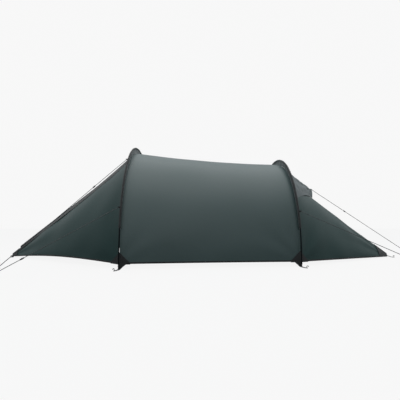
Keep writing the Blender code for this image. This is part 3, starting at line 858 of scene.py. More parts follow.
@dataclass
class Fly:
    """The tunnel, the porch's two panels and the rear end's two panels, with their hem tapes."""

    finishes: Finishes
    cloth: float = 0.0008
    tape_width: float = 0.011
    tape_cloth: float = 0.0012
    tape_stand_off: float = 0.0009
    tunnel_rows: int = 110
    arch_columns: int = 150
    panel_rows: int = 110
    panel_columns: int = 76
    zip_slot: float = 0.0065
    panel_gap: float = 0.0008
    vent_end: float = 0.28
    vent_turn: float = 0.30
    door_keep: float = 0.15

    def build(self) -> None:
        """Makes every panel."""
        self._tunnel()
        for side in Side:
            self._panel(End.FRONT, side)
            self._panel(End.REAR, side)

    def _hem_tape(self, name: str, edge: Grid, inward: Grid) -> bpy.types.Object:
        """A tape over a hem: a band from the edge inwards, a little proud of the cloth."""
        share = np.linspace(-0.08, 1, 4)[None, :, None]
        grid = edge[:, None] + inward[:, None] * share * self.tape_width
        normal = surface_normals(grid)
        outward = np.sign((normal[..., 1] * grid[..., 1]).sum())
        grid = grid + normal * outward * self.tape_stand_off
        if outward < 0:
            grid = grid[:, ::-1]
        return dress(shell(name, grid, self.tape_cloth), self.finishes.patch, "dark_cloth")

    def _tunnel(self) -> None:
        """The fly between the hoops, creased towards its feet and slightly slack in the middle."""
        share = np.linspace(0, 1, self.tunnel_rows)[:, None]
        sections = SHAPE.tunnel(share)
        limit = sections.turn_at(sections.hem)
        spacing = np.linspace(-1, 1, self.arch_columns)[None]
        grid = sections.points(limit * spacing)
        flat = cloth_map(grid)
        height = ripples(flat, 4, 0.55, 0.0016)
        for row in (0, -1):
            for column in (0, -1):
                along, across = flat[row, column]
                height = height + Pull(along, across, 9, 0.0040, 0.30, 0.4 * row + column).height(flat)
        grid = raised(grid, height)
        piece = shell("tunnel_fly", grid, self.cloth, flat)
        dress(piece, self.finishes.fly, "fly", "fly_tunnel")
        for side, column in ((Side.NEAR, 0), (Side.FAR, -1)):
            inward = grid[:, 3 if column == 0 else -4] - grid[:, column]
            self._hem_tape(f"tunnel_hem_{side.tag}", grid[:, column], unit(inward))
        size, area = cut_size(grid)

    def panel_grid(self, end: End, side: Side) -> Grid:
        """One panel of an end: rows from the tip or the hoop along +X, columns from near to far.

        Each row is an arch from its hem to the ridge, kept a gap away from the middle.
        """
        share = np.linspace(0, 1, self.panel_rows)[:, None]
        if end is End.FRONT:
            share = share[::-1]
        sections = SHAPE.end_part(end, share)
        low = sections.turn_at(sections.hem)
        high = np.zeros_like(share)
        gap = self.zip_slot
        if end is End.REAR:
            high = self.vent_turn * np.maximum(1 - share / self.vent_end, 0.0)
            gap = self.panel_gap
        along_arch = np.linspace(0, 1, self.panel_columns)[None]
        grid = sections.points(mix(low, high, along_arch) * side.value)
        grid[..., 1] = side.value * np.maximum(np.abs(grid[..., 1]), gap)
        return grid if side is Side.NEAR else grid[:, ::-1]

    def _panel(self, end: End, side: Side) -> None:
        """One panel of the porch or the rear end, creased towards the tip and the hoop's foot. It wears the
        darker copy of the fly cloth, which paints in shade.
        """
        grid = self.panel_grid(end, side)
        flat = cloth_map(grid)
        hem = 0 if side is Side.NEAR else -1
        tip, foot = (0, -1) if end is End.FRONT else (-1, 0)
        height = ripples(flat, 11 + side.value + 3 * end.value, 0.42, 0.0018)
        height = height + Pull(*flat[tip, hem], 16, 0.0045, 0.75, 0.5).height(flat)
        height = height + Pull(*flat[foot, hem], 8, 0.0050, 0.34, 1.1).height(flat)
        grid = raised(grid, height)
        names = {
            (End.FRONT, Side.NEAR): ("porch_door_cloth", "porch_door_near"),
            (End.FRONT, Side.FAR): ("porch_wall_cloth", "porch_wall_far"),
            (End.REAR, Side.NEAR): ("rear_cloth_near", "rear_panel_near"),
            (End.REAR, Side.FAR): ("rear_cloth_far", "rear_panel_far"),
        }
        name, node = names[end, side]
        # The panels wear the painted-shade copy of the fly cloth.
        piece = dress(shell(name, grid, self.cloth, flat), self.finishes.end_fly, "fly", node)
        inward = unit(grid[:, hem + 3 if hem == 0 else -4] - grid[:, hem])
        tape = self._hem_tape(f"{name}_hem", grid[:, hem], inward)
        size, area = cut_size(grid)
        if (end, side) == (End.FRONT, Side.NEAR):
            for cloth in (piece, tape):
                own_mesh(cloth)


@dataclass
class Vent:
    """The mesh in the rear end and the hood over it, propped at its mouth and tied back."""

    finishes: Finishes
    end_share: float = 0.28
    spread_turn: float = 0.30
    hood_turn: float = 0.58
    mouth_turn: float = 0.18
    sweep: float = 0.030
    gap: float = 0.0015
    cloth: float = 0.0008
    mesh_reach: float = 0.93
    mesh_rows: int = 30
    mesh_columns: int = 41
    binding_radius: float = 0.0022
    rows: int = 70
    columns: int = 90
    fold_depth: float = 0.0065
    folds: int = 15

    def build(self) -> None:
        """Makes the mesh, the hood and the binding round the hood's mouth."""
        self._mesh()
        grid = self.hood_grid()
        hood = dress(shell("vent_hood_cloth", grid, self.cloth), self.finishes.hood, "fly", "vent_hood")
        binding = tube("hood_mouth_binding", grid[-1], self.binding_radius, 8, X_AXIS)
        dress(binding, self.finishes.hood, "fly")
        size, area = cut_size(grid)

    def _mesh(self) -> None:
        """The netting, which follows the rear arches down to a point."""
        share = np.linspace(0, self.end_share * self.mesh_reach, self.mesh_rows)[:, None]
        sections = SHAPE.end_part(End.REAR, share)
        limit = self.spread_turn * (1 - share / self.end_share) - self.gap / sections.half_width
        grid = sections.points(limit * np.linspace(-1, 1, self.mesh_columns)[None])
        piece = dress(shell("vent_netting", grid, self.cloth), self.finishes.netting, "mesh", "vent_mesh")
        size, area = cut_size(grid)

    def hood_grid(self) -> Grid:
        """The hood: the rear arch raised by a cosine that is highest on the middle line.

        Its mouth is swept forward by the square of the share across. Folds fan out from the
        middle of the mouth, where the guyline pulls, and die out towards each side.
        """
        along = np.linspace(0, 1, self.rows)[:, None]
        across = np.linspace(-1, 1, self.columns)[None]
        sections = SHAPE.end_part(End.REAR, along * SHAPE.hood_end - self.sweep * (along * across) ** 2)
        limit = mix(self.hood_turn, self.mouth_turn, along)
        turn = limit * across
        crown_lift = float(SHAPE.tunnel(np.ones((1, 1))).top[0, 0]) - SHAPE.rear_crown
        lift = mix(crown_lift, SHAPE.mouth_lift, along)
        rise = lift * np.cos(math.pi / 2 * across) + SHAPE.hood_clearance
        out = SHAPE.hood_clearance * np.sin(np.abs(turn) * math.pi / 2) * np.sign(turn)
        grid = sections.points(turn)
        grid = grid + np.stack(np.broadcast_arrays(0.0 * rise, out, rise), axis=-1)
        flat = cloth_map(grid)
        hold = Pull(*flat[-1, self.columns // 2], self.folds, self.fold_depth, 0.42, 0.8)
        slack = ripples(flat, 23, 0.09, 0.0022)
        return raised(grid, (hold.height(flat) + slack) * np.cos(math.pi / 2 * across) ** 0.5)


# Hoops ---------------------------------------------------------------------------------------


@dataclass
class HoopSet:
    """One hoop: its pole and tips, its sleeve, and the fin that holds the sleeve."""

    finishes: Finishes
    end: End
    sleeve_end: float = 0.29
    pole_end: float = 0.030
    bore: float = 0.0050
    cloth: float = 0.0008
    flatten: float = 1.35
    fin_columns: int = 260
    ruffle: float = 0.0022

    def build(self) -> None:
        """Makes the pole, the sleeve, the fin and both tips."""
        hoop = SHAPE.hoop(self.end)
        tag = self.end.tag
        foot = hoop.turn_at(self.pole_end)
        turns = np.linspace(-foot, foot, 240)
        pole = tube(f"hoop_pole_{tag}", hoop.points(turns), SHAPE.pole_radius, 16, X_AXIS)
        dress(pole, self.finishes.pole, "pole", f"pole_{tag}")
        limit = hoop.turn_at(self.sleeve_end)
        self._sleeve(hoop, limit)
        for side in Side:
            self._tip(hoop, side)

    def _sleeve(self, hoop: Hoop, limit: float) -> None:
        """The tube round the pole, ruffled a little, and the fin from the fly to the tube."""
        tag = self.end.tag
        turns = np.linspace(-limit, limit, self.fin_columns)
        centre = hoop.points(turns)
        run = np.concatenate([[0.0], np.linalg.norm(np.diff(centre, axis=0), axis=1).cumsum()])
        pucker = 0.0005 * np.sin(run * 95) * np.sin(run * 41 + 1)
        sleeve = tube(
            f"sleeve_tube_{tag}", centre, self.bore + self.cloth + pucker, 16, X_AXIS, self.flatten
        )
        dress(sleeve, self.finishes.sleeve, "dark_cloth", f"pole_sleeve_{tag}")
        fly = SHAPE.tunnel(np.full(turns.shape, 0.0 if self.end is End.FRONT else 1.0)).points(turns)
        out = unit(centre - fly)
        low = fly + out * 0.0006
        high = centre - out * self.bore
        share = np.linspace(0, 1, 12)[:, None, None]
        grid = mix(low[None], high[None], share)
        wave = self.ruffle * np.sin(run * 60 + 2 * np.sin(run * 9)) * np.sin(run * 17 + 1)
        grid[..., 0] += wave[None] * np.sin(math.pi * share[..., 0])
        fin = dress(shell(f"sleeve_fin_{tag}", grid, self.cloth), self.finishes.fin, "fly")
        size, area = cut_size(grid)
        math.pi * (self.bore + self.cloth)

    def _tip(self, hoop: Hoop, side: Side) -> None:
        """The turned tip under the pole: a collar, a cone and a rounded toe."""
        height = np.array([0.0034, 0.0042, 0.0060, 0.0150, 0.0230, 0.0235, 0.0290, 0.0294])
        radius = np.array([0.0016, 0.0026, 0.0031, 0.0040, 0.0045, 0.0058, 0.0058, 0.0050])
        place = np.array([hoop.x, side.value * hoop.half_width, 0.0])
        path = place + height[:, None] * Z_AXIS
        tag = f"{self.end.tag}_{side.tag}"
        tip = tube(f"hoop_tip_{tag}", path, radius, 20, X_AXIS)
        dress(tip, self.finishes.peg, "peg", f"pole_tip_{tag}")


# Feet, tips and pegs -------------------------------------------------------------------------


LOW_PEG = 0.018


@dataclass(frozen=True)
class PegShape:
    """A wire peg: its stem and the hook at its top, as shares of its height out and up."""

    radius: float = 0.0022
    height: float = 0.028
    outline: tuple[tuple[float, float], ...] = (
        (0, 0), (0, 0.5), (0, 0.8), (0.12, 0.96), (0.36, 1), (0.56, 0.88), (0.62, 0.6),
    )

    def make(self, name: str, node: str, reach: tuple[float, float], finishes: Finishes) -> bpy.types.Object:
        """Makes one peg where its node stands.

        Args:
            name: The new piece's name.
            node: The frame node that it replaces.
            reach: The way its hook points, along X and Y.
            finishes: The tent's materials.

        Returns:
            The peg.
        """
        low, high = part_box(node)
        way = unit(np.array([*reach, 0.0]))
        corner = np.array([low[0] if way[0] > 0 else high[0], low[1] if way[1] > 0 else high[1], 0.0])
        place = corner + self.radius * np.sign(way)
        if way[1] == 0:
            place[1] = (low[1] + high[1]) / 2
        points = np.array(
            [place + (way * out + Z_AXIS * up) * self.height for out, up in self.outline]
        )
        path = smooth_path(points, 6)
        across = np.array([-way[1], way[0], 0.0])
        radius = np.full(len(path), self.radius)
        radius[-2:] = self.radius * np.array([0.85, 0.55])
        return dress(tube(name, path, radius, 14, across), finishes.peg, "peg", node)


@dataclass
class Foot:
    """One hoop foot: a dark patch, webbing that holds the pole's tip, and its peg."""

    finishes: Finishes
    end: End
    side: Side
    half_width: float = 0.075
    rise: float = 0.078
    stand_off: float = 0.0025
    hem_drop: float = 0.004
    cloth: float = 0.0014
    strap: float = 0.002
    strap_lift: float = 0.0008
    top_out: float = 0.002
    top_width: float = 0.056
    knee_half: float = 0.010
    shelf_out: float = 0.014
    shelf_in: float = 0.012
    toe: float = 0.046
    toe_turn: float = 0.014
    toe_half: float = 0.009
    face_gap: float = 0.008

    def build(self) -> None:
        """Makes the patch, the webbing and the peg."""
        tag = f"{self.end.tag}_{self.side.tag}"
        cover = shell(f"hoop_foot_patch_{tag}", self._patch(), self.cloth)
        dress(cover, self.finishes.patch, "dark_cloth", f"foot_patch_{tag}")
        self._webbing(tag)
        reach = (self.end.value, self.side.value)
        PegShape(height=LOW_PEG).make(f"foot_stake_{tag}", f"foot_peg_{tag}", reach, self.finishes)

    def _patch(self) -> Grid:
        """A triangle on the fly's side: its rise falls off in a straight line from the hoop."""
        hoop = SHAPE.hoop(self.end)
        out = np.linspace(-1, 1, 41)[:, None]
        x = hoop.x + out * self.half_width
        front, rear = SHAPE.hoop(End.FRONT), SHAPE.hoop(End.REAR)
        tunnel = SHAPE.tunnel((x - front.x) / (rear.x - front.x))
        tip = SHAPE.tip_x(self.end)
        ends = SHAPE.end_part(self.end, np.clip((x - hoop.x) / (tip - hoop.x), 0, 1))
        beyond = (out * self.end.value) > 0
        both = Sections(*(
            np.where(beyond, getattr(ends, name), getattr(tunnel, name))
            for name in SECTION_FIELDS
        ))
        share = np.linspace(0, 1, 16)[None]
        height = both.hem - self.hem_drop + (self.rise * (1.06 - np.abs(out)) + self.hem_drop) * share
        grid = both.points(both.turn_at(height) * self.side.value)
        grid[..., 0] = x
        grid[..., 1] += self.side.value * (self.stand_off + self.cloth)
        return grid if self.side is Side.NEAR else grid[:, ::-1]

    def _webbing(self, tag: str) -> None:
        """Webbing from the hem, under the pole's tip and out to the peg.

        Its middle runs down a straight line, round a knee and flat along the ground. Its two
        edges are straight between the hem, the knee and the rounded toe, and lean away from
        the tunnel.
        """
        hoop = SHAPE.hoop(self.end)
        knee = hoop.half_width - self.shelf_in
        rim = hoop.half_width + self.shelf_out
        face = hoop.half_width - SHAPE.stand_off_side + self.face_gap
        top = SHAPE.hem + self.hem_drop
        low = self.strap_lift + self.strap
        toe = rim + self.toe
        slope = [mix(face, knee, 0.5), top / 2, 0.0]
        ground = [[place, low, 0.0] for place in (knee, rim, toe)]
        profile = smooth_path(np.array([[face, top, 0.0], slope, *ground]), 9)
        out, up = profile[:, 0], np.maximum(profile[:, 1], low)
        drop = np.clip((up - low) / (top - low), 0, 1)
        reach = np.clip((out - rim) / self.toe, 0, 1)
        inner = self.top_out - self.top_width
        narrowing = self.knee_half - self.toe_half
        outer_edge = mix(self.knee_half, self.top_out, drop) + reach * (self.toe_turn - narrowing)
        inner_edge = mix(-self.knee_half, inner, drop) + reach * (self.toe_turn + narrowing)
        middle, half = (outer_edge + inner_edge) / 2, (outer_edge - inner_edge) / 2
        half = half * np.sqrt(1 - 0.75 * np.clip(reach * 4 - 3, 0, 1) ** 2)
        across = np.linspace(-1, 1, 13)[:, None]
        x = hoop.x + self.end.value * middle[None] + across * half[None]
        y = np.broadcast_to(self.side.value * out[None], x.shape)
        grid = np.stack([x, y, np.broadcast_to(up[None], x.shape)], axis=-1)
        if self.side is Side.NEAR:
            grid = grid[:, ::-1]
        strap = shell(f"foot_strap_{tag}", grid, self.strap)
        dress(strap, self.finishes.webbing, "dark_cloth", f"foot_webbing_{tag}")


@dataclass
class Tip:
    """One tip of the fly: the dark patch over both panels, a strap and its peg."""

    finishes: Finishes
    end: End
    last_share: float
    centre_gap: float
    strap_length: float
    stand_off: float = 0.0025
    patch_share: float = 0.8
    cloth: float = 0.0014
    strap: float = 0.002
    strap_lift: float = 0.0008
    strap_width: float = 0.020
    strap_top: float = 0.4
    flat_end: float = 0.016
    columns: int = 20

    def build(self) -> None:
        """Makes the patch, the strap and the peg."""
        tag = self.end.tag
        cover = shell(f"tip_cover_{tag}", self._patch(), self.cloth)
        dress(cover, self.finishes.patch, "dark_cloth", f"tip_patch_{tag}")
        self._strap()
        reach = (self.end.value, 0.0)
        PegShape(height=LOW_PEG).make(f"tip_stake_{tag}", f"tip_peg_{tag}", reach, self.finishes)

    def _row(self, share: float) -> Grid:
        """A section from the near hem over the ridge to the far one, stood off the panels."""
        sections = SHAPE.end_part(self.end, np.array([[share]]))
        low = sections.turn_at(sections.hem)
        turns = mix(low, 0.0, np.linspace(0, 1, self.columns)[None])
        half = sections.points(turns)[0]
        half[:, 1] = np.maximum(np.abs(half[:, 1]), self.centre_gap) + self.stand_off
        half[:, 2] += self.stand_off
        near = half * np.array([1, -1, 1])
        return np.concatenate([near, half[::-1]])

    def _patch(self) -> Grid:
        """Straight lines from the tip's section towards the next one, part of the way."""
        outer, inner = self._row(1.0), self._row(self.last_share)
        share = np.linspace(0, self.patch_share, 14)[:, None, None]
        grid = mix(outer[None], inner[None], share)
        grid = grid if self.end is End.FRONT else grid[::-1]
        return grid + surface_normals(grid) * self.cloth

    def _strap(self) -> None:
        """Webbing from the tip down to a flat end on the ground, where the peg goes through."""
        tip = SHAPE.tip_x(self.end)
        way = self.end.value
        low = self.strap_lift + self.strap
        start = mix(*SHAPE.tip_heights(self.end), self.strap_top)
        points = np.array([
            [tip + way * self.stand_off, 0, start],
            [tip + way * (self.strap_length - self.flat_end), 0, low],
            [tip + way * self.strap_length, 0, low],
        ])
        line = smooth_path(points, 8)
        line[:, 2] = np.maximum(line[:, 2], low)
        if self.end is End.FRONT:
            line = line[::-1]
        across = np.linspace(-0.5, 0.5, 9) * self.strap_width
        grid = np.repeat(line[:, None], len(across), axis=1)
        grid[..., 1] = across[None]
        piece = shell(f"tip_strap_{self.end.tag}", grid, self.strap)
        dress(piece, self.finishes.webbing, "dark_cloth", f"tip_webbing_{self.end.tag}")


# Guylines ------------------------------------------------------------------------------------


@dataclass
class Guylines:
    """Seven taut lines, each with its tab on the tent, its adjuster and a loop at its peg."""

    finishes: Finishes
    radius: float = 0.002
    stand_off: float = 0.013
    side_share: float = 0.7
    peg_height: float = 0.010
    upper_peg_height: float = 0.017
    peg_gap: float = 0.0006
    peg_radius: float = 0.0022
    adjuster_share: float = 0.30
    side_adjuster_share: float = 0.78
    hood_adjuster_share: float = 0.325
    hood_tie_out: float = 0.004
    upper_out: float = 0.43
    upper_rise: float = 0.002
    front_side_height: float = 0.44
    rear_side_height: float = 0.418
    front_peg: tuple[float, float] = (-1.293, 0.99)
    rear_peg: tuple[float, float] = (1.517, 0.80)
    rear_centre_peg: float = 2.067
    hook: tuple[float, float] = (0.9, 0.4)
    tab_width: float = 0.014
    tab_cloth: float = 0.0024
    tab_past_start: float = 0.006
    tab_taper: float = 0.35
    loop_mouth: float = 0.32
    hood_tab_run: float = 0.02
    steps: int = 32

    def build(self) -> None:
        """Makes every line and its pieces."""
        front, rear = SHAPE.hoop(End.FRONT), SHAPE.hoop(End.REAR)
        for side in Side:
            sign = side.value
            stake = self._stake(f"front_{side.tag}", (-self.hook[0], sign * self.hook[1]))
            peg = np.array([self.front_peg[0], sign * self.front_peg[1], 0.0])
            turn = np.array([sign * front.turn_out(self.upper_out)])
            hold = front.points(turn)[0]
            start = hold + np.array([-self.stand_off, 0.0, self.upper_rise])
            name = f"front_upper_{side.tag}"
            self._line(name, hold, start, peg, self.upper_peg_height, self.adjuster_share)
            hold, start = self._side_start(front, self.front_side_height, side)
            name = f"front_side_{side.tag}"
            self._line(name, hold, start, peg, self.peg_height, self.side_adjuster_share)
            stake = self._stake(f"rear_{side.tag}", (self.hook[0], sign * self.hook[1]))
            peg = np.array([self.rear_peg[0], sign * self.rear_peg[1], 0.0])
            hold, start = self._side_start(rear, self.rear_side_height, side)
            name = f"rear_side_{side.tag}"
            self._line(name, hold, start, peg, self.peg_height, self.side_adjuster_share)
        stake = self._stake("rear_centre", (1.0, 0.0))
        mouth = SHAPE.end_part(End.REAR, np.array([[SHAPE.hood_end]]))
        top = mouth.top[0, 0] + SHAPE.mouth_lift + SHAPE.hood_clearance
        start = np.array([mouth.x[0, 0] + self.hood_tie_out, 0.0, top])
        peg = np.array([self.rear_centre_peg, 0.0, 0.0])
        hold = start - np.array([self.hood_tab_run, 0, -self.upper_rise])
        self._line("rear_hood", hold, start, peg, self.peg_height, self.hood_adjuster_share)

    def _stake(self, tag: str, reach: tuple[float, float]) -> bpy.types.Object:
        """The peg that a line ends at."""
        return PegShape().make(f"guy_stake_{tag}", f"guy_peg_{tag}", reach, self.finishes)

    def _side_start(self, hoop: Hoop, height: float, side: Side) -> tuple[Grid, Grid]:
        """Where a side line's tab is sewn, and where the line leaves it."""
        hold = hoop.points(np.array([side.value * hoop.turn_at(height)]))[0]
        way = np.array([hoop.end.value, side.value * self.side_share, 0.0])
        return hold, hold + way * self.stand_off

    def _line(
        self,
        tag: str,
        hold: Grid,
        start: Grid,
        peg: Grid,
        height: float,
        share: float,
    ) -> None:
        """One line.

        Args:
            tag: The line's name.
            hold: Where its tab is sewn to the tent.
            start: Where the line begins.
            peg: The foot of its peg.
            height: How high on the peg it ends.
            share: How far along the line its adjuster is.
        """
        target = np.array([peg[0], peg[1], height])
        level = unit((target - start) * np.array([1.0, 1.0, 0.0]))
        end = target - level * (self.peg_radius + self.radius + self.peg_gap)
        path = mix(start[None], end[None], np.linspace(0, 1, self.steps)[:, None])
        line = dress(
            tube(f"guyline_{tag}", path, self.radius, 10), self.finishes.cord, "cord", f"guy_{tag}"
        )
        way = unit(end - start)
        across = unit(np.cross(way, Z_AXIS))
        adjuster = self._adjuster(tag, mix(start, end, share), way)
        self._tab(tag, hold, start, across)
        loop = self._loop(tag, np.array([peg[0], peg[1], height]), end)
        float(np.linalg.norm(end - start))

    def _adjuster(self, tag: str, place: Grid, way: Grid) -> bpy.types.Object:
        """A turned toggle with a waist and two collars, on the line."""
        half_run = np.array([0.0, 0.003, 0.0075, 0.0085, 0.0105, 0.011])
        half_radius = np.array([0.0058, 0.0042, 0.0036, 0.0048, 0.0048, 0.0040])
        run = np.concatenate([-half_run[:0:-1], half_run])
        radius = np.concatenate([half_radius[:0:-1], half_radius])
        path = place[None] + run[:, None] * way[None]
        name = f"adjuster_{tag}"
        piece = tube(f"line_toggle_{tag}", path, radius, 18)
        return dress(piece, self.finishes.plastic, "plastic", name, body=name)

    def _tab(self, tag: str, hold: Grid, start: Grid, across: Grid) -> None:
        """A folded webbing tab from the tent to the line's first knot."""
        share = np.linspace(0, 1, 9)[:, None, None]
        width = np.linspace(-0.5, 0.5, 7)[None, :, None] * self.tab_width
        beyond = start + unit(start - hold) * self.tab_past_start
        middle = mix(hold[None, None], beyond[None, None], share)
        upright = unit(np.cross(across, start - hold))
        grid = middle + upright[None, None] * width * (1 - self.tab_taper * share)
        dress(shell(f"line_tab_{tag}", grid, self.tab_cloth), self.finishes.webbing, "dark_cloth")

    def _loop(self, tag: str, middle: Grid, end: Grid) -> bpy.types.Object:
        """The line's end loop round the peg: an open ring that starts and stops at the line."""
        radius = self.peg_radius + self.radius + self.peg_gap
        bearing = math.atan2(end[1] - middle[1], end[0] - middle[0])
        angle = bearing + np.linspace(self.loop_mouth, 2 * math.pi - self.loop_mouth, 28)
        ring = np.stack([np.cos(angle) * radius, np.sin(angle) * radius, 0 * angle], axis=1) + middle
        return dress(tube(f"line_loop_{tag}", ring, self.radius * 0.9, 8), self.finishes.cord, "cord")


# Porch zip -----------------------------------------------------------------------------------


@dataclass
class PorchZip:
    """The flap over the porch's zip, and the zip's own pieces, which stay as the frame has them."""

    finishes: Finishes
    start_share: float = 0.012
    end_share: float = 0.935
    half_width: float = 0.017
    near_width: float = 0.35
    near_tip: float = 0.030
    near_power: float = 1.8
    crown: float = 0.0160
    stand_off: float = 0.003
    wing_lift: float = 0.004
    cloth: float = 0.0012
    rows: int = 160
    columns: int = 25
    wing_columns: int = 24

    def build(self) -> None:
        """Makes the flap and dresses the tape, the slider and the puller.

        The near wing lies on the door, and its edge draws in towards the tip by a power of
        the share along. The hood over the zip is a flattened hump between the wing and the
        far edge.
        """
        share = np.linspace(self.end_share, self.start_share, self.rows)[:, None]
        sections = SHAPE.end_part(End.FRONT, share)
        across = np.linspace(-1, 1, self.columns)[None]
        near = mix(self.near_tip, self.near_width, (1 - share) ** self.near_power)
        wing = np.linspace(0, 1, self.wing_columns, endpoint=False)[None]
        hump_out = np.broadcast_to(across * self.half_width, (self.rows, self.columns))
        out = np.concatenate([-mix(near, self.half_width, wing), hump_out], axis=1)
        side = (np.abs(out) / sections.half_width) ** sections.power
        surface = sections.top * (1 - side) ** (1 / sections.power)
        edge = (self.half_width / sections.half_width) ** sections.power
        floor = sections.top * (1 - edge) ** (1 / sections.power)
        hump = self.crown * (1 - across**4) + mix(floor, sections.top, 1 - across**4) + self.stand_off
        lift = self.stand_off + self.wing_lift * np.sin(math.pi * np.minimum(wing * 1.6, 1.0) / 2)
        rise = np.concatenate([surface[:, : self.wing_columns] + lift, hump], axis=1)
        grid = np.stack(np.broadcast_arrays(sections.x, out, rise), axis=-1).copy()
        flat = cloth_map(grid)
        grid[..., 2] += 0.0007 * np.sin(flat[..., 0] * 160) * np.sin(flat[..., 0] * 37)
        flap = dress(
            shell("zip_storm_flap", grid, self.cloth, flat), self.finishes.patch, "dark_cloth", "storm_flap"
        )
        size, area = cut_size(grid)
        repaint("porch_zip_tape", self.finishes.zip_tape)
        for node in ("porch_zip_slider", "porch_zip_puller"):
            repaint(node, self.finishes.plastic)


# Inner tent ----------------------------------------------------------------------------------


@dataclass
class InnerTent:
    """The hung inner tent: canopy, front door with its zip slider, and groundsheet tub."""

    finishes: Finishes
    inset: float = 0.05
    front_gap: float = 0.06
    end_share: float = 0.52
    tunnel_end: float = 0.97
    rear_start: float = 0.04
    foot_run: float = 0.03
    foot_rise: float = 0.02
    foot_width: float = 0.96
    tub_height: float = 0.085
    rim_gap: float = 0.005
    floor_share: float = 0.6
    cloth: float = 0.0008
    door_gap: float = 0.004
    door_keep: float = 0.12
    end_slope: float = 0.035
    floor_lift: float = 0.0012
    tub_rows: int = 150
    tub_columns: int = 91
    door_rows: int = 50
    columns: int = 90
    rows: int = 24

    def _sections(self) -> Sections:
        """The inner tent's sections, which run inside the tunnel and then the rear end."""
        front, rear = SHAPE.hoop(End.FRONT), SHAPE.hoop(End.REAR)
        first = self.front_gap / (rear.x - front.x)
        tunnel = SHAPE.tunnel(np.linspace(first, self.tunnel_end, self.rows)[:, None])
        ends = SHAPE.end_part(End.REAR, np.linspace(self.rear_start, self.end_share, self.rows)[:, None])
        joined = [
            np.concatenate([getattr(tunnel, name), getattr(ends, name)])
            for name in SECTION_FIELDS
        ]
        x, half_width, top, hem, power = joined
        half_width, top = half_width - self.inset, top - self.inset
        hem = hem * 0 + self.tub_height + self.rim_gap
        last = [values[-1:] for values in (x, half_width, top, hem, power)]
        foot_top = last[3] + self.foot_rise
        foot = (last[0] + self.foot_run, last[1] * self.foot_width, foot_top, last[3], last[4])
        pairs = zip((x, half_width, top, hem, power), foot)
        return Sections(*(np.concatenate(pair) for pair in pairs))

    def build(self) -> None:
        """Makes the canopy, the door and the tub, and dresses the slider."""
        sections = self._sections()
        limit = sections.turn_at(sections.hem)
        grid = sections.points(limit * np.linspace(-1, 1, self.columns)[None])
        grid[-1, :, 2] = np.maximum(grid[-1, :, 2], self.tub_height + self.rim_gap)
        flat = cloth_map(grid)
        grid = raised(grid, -np.abs(ripples(flat, 41, 0.28, 0.0040)))
        canopy = dress(
            shell("inner_canopy_cloth", grid, self.cloth, flat), self.finishes.inner, "inner", "inner_canopy"
        )
        size, area = cut_size(grid)
        self._door(grid[0])
        self._tub(sections)
        repaint("inner_door_slider", self.finishes.plastic)

    def _door(self, arch: Grid) -> None:
        """The front door: straight upright threads from the sill to the arch, slightly slack."""
        share = np.linspace(0, 1, self.door_rows)[:, None, None]
        sill = arch * np.array([1.0, 1.0, 0.0]) + np.array([0.0, 0.0, self.tub_height + self.rim_gap])
        grid = mix(sill[None], arch[None], share)
        grid[..., 0] = arch[0, 0] - self.door_gap
        flat = np.stack([grid[..., 2], grid[..., 1]], axis=-1)
        grid[..., 0] += np.abs(ripples(flat, 52, 0.22, 0.0012)) * edge_fade(*grid.shape[:2])
        grid = grid[::-1]
        door = shell("inner_door_cloth", grid, self.cloth, flat[::-1])
        dress(door, self.finishes.inner, "inner", "inner_door")
        size, area = cut_size(grid)
        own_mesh(door)

    def _tub(self, sections: Sections) -> None:
        """The groundsheet: a flat floor whose sides and ends turn up to the canopy's rim.

        The height is the rim's times the larger of two shares, each nought on the floor and
        rising to one at the rim: one across, past the floor's edge, and one along the last
        few centimetres at each end.
        """
        rim = sections.points(sections.turn_at(sections.hem))[:, 0]
        order = np.argsort(rim[:, 0], kind="stable")
        x = np.linspace(rim[:, 0].min(), rim[:, 0].max(), self.tub_rows)
        half = np.interp(x, rim[order, 0], np.abs(rim[order, 1]))
        across = np.linspace(-1, 1, self.tub_columns)[None]
        ends = np.minimum(x - x[0], x[-1] - x)[:, None] / self.end_slope
        side = np.clip((np.abs(across) - self.floor_share) / (1 - self.floor_share), 0, 1)
        share = np.maximum(side, np.clip(1 - ends, 0, 1))
        y = half[:, None] * across
        z = mix(self.floor_lift, self.tub_height, share) + 0 * y
        grid = np.stack([np.broadcast_to(x[:, None], y.shape), y, z], axis=-1)
        flat = cloth_map(grid)
        piece = shell("groundsheet_cloth", grid, self.cloth, flat)
        dress(piece, self.finishes.groundsheet, "groundsheet", "groundsheet_tub")
        size, area = cut_size(grid)


# Stage ---------------------------------------------------------------------------------------


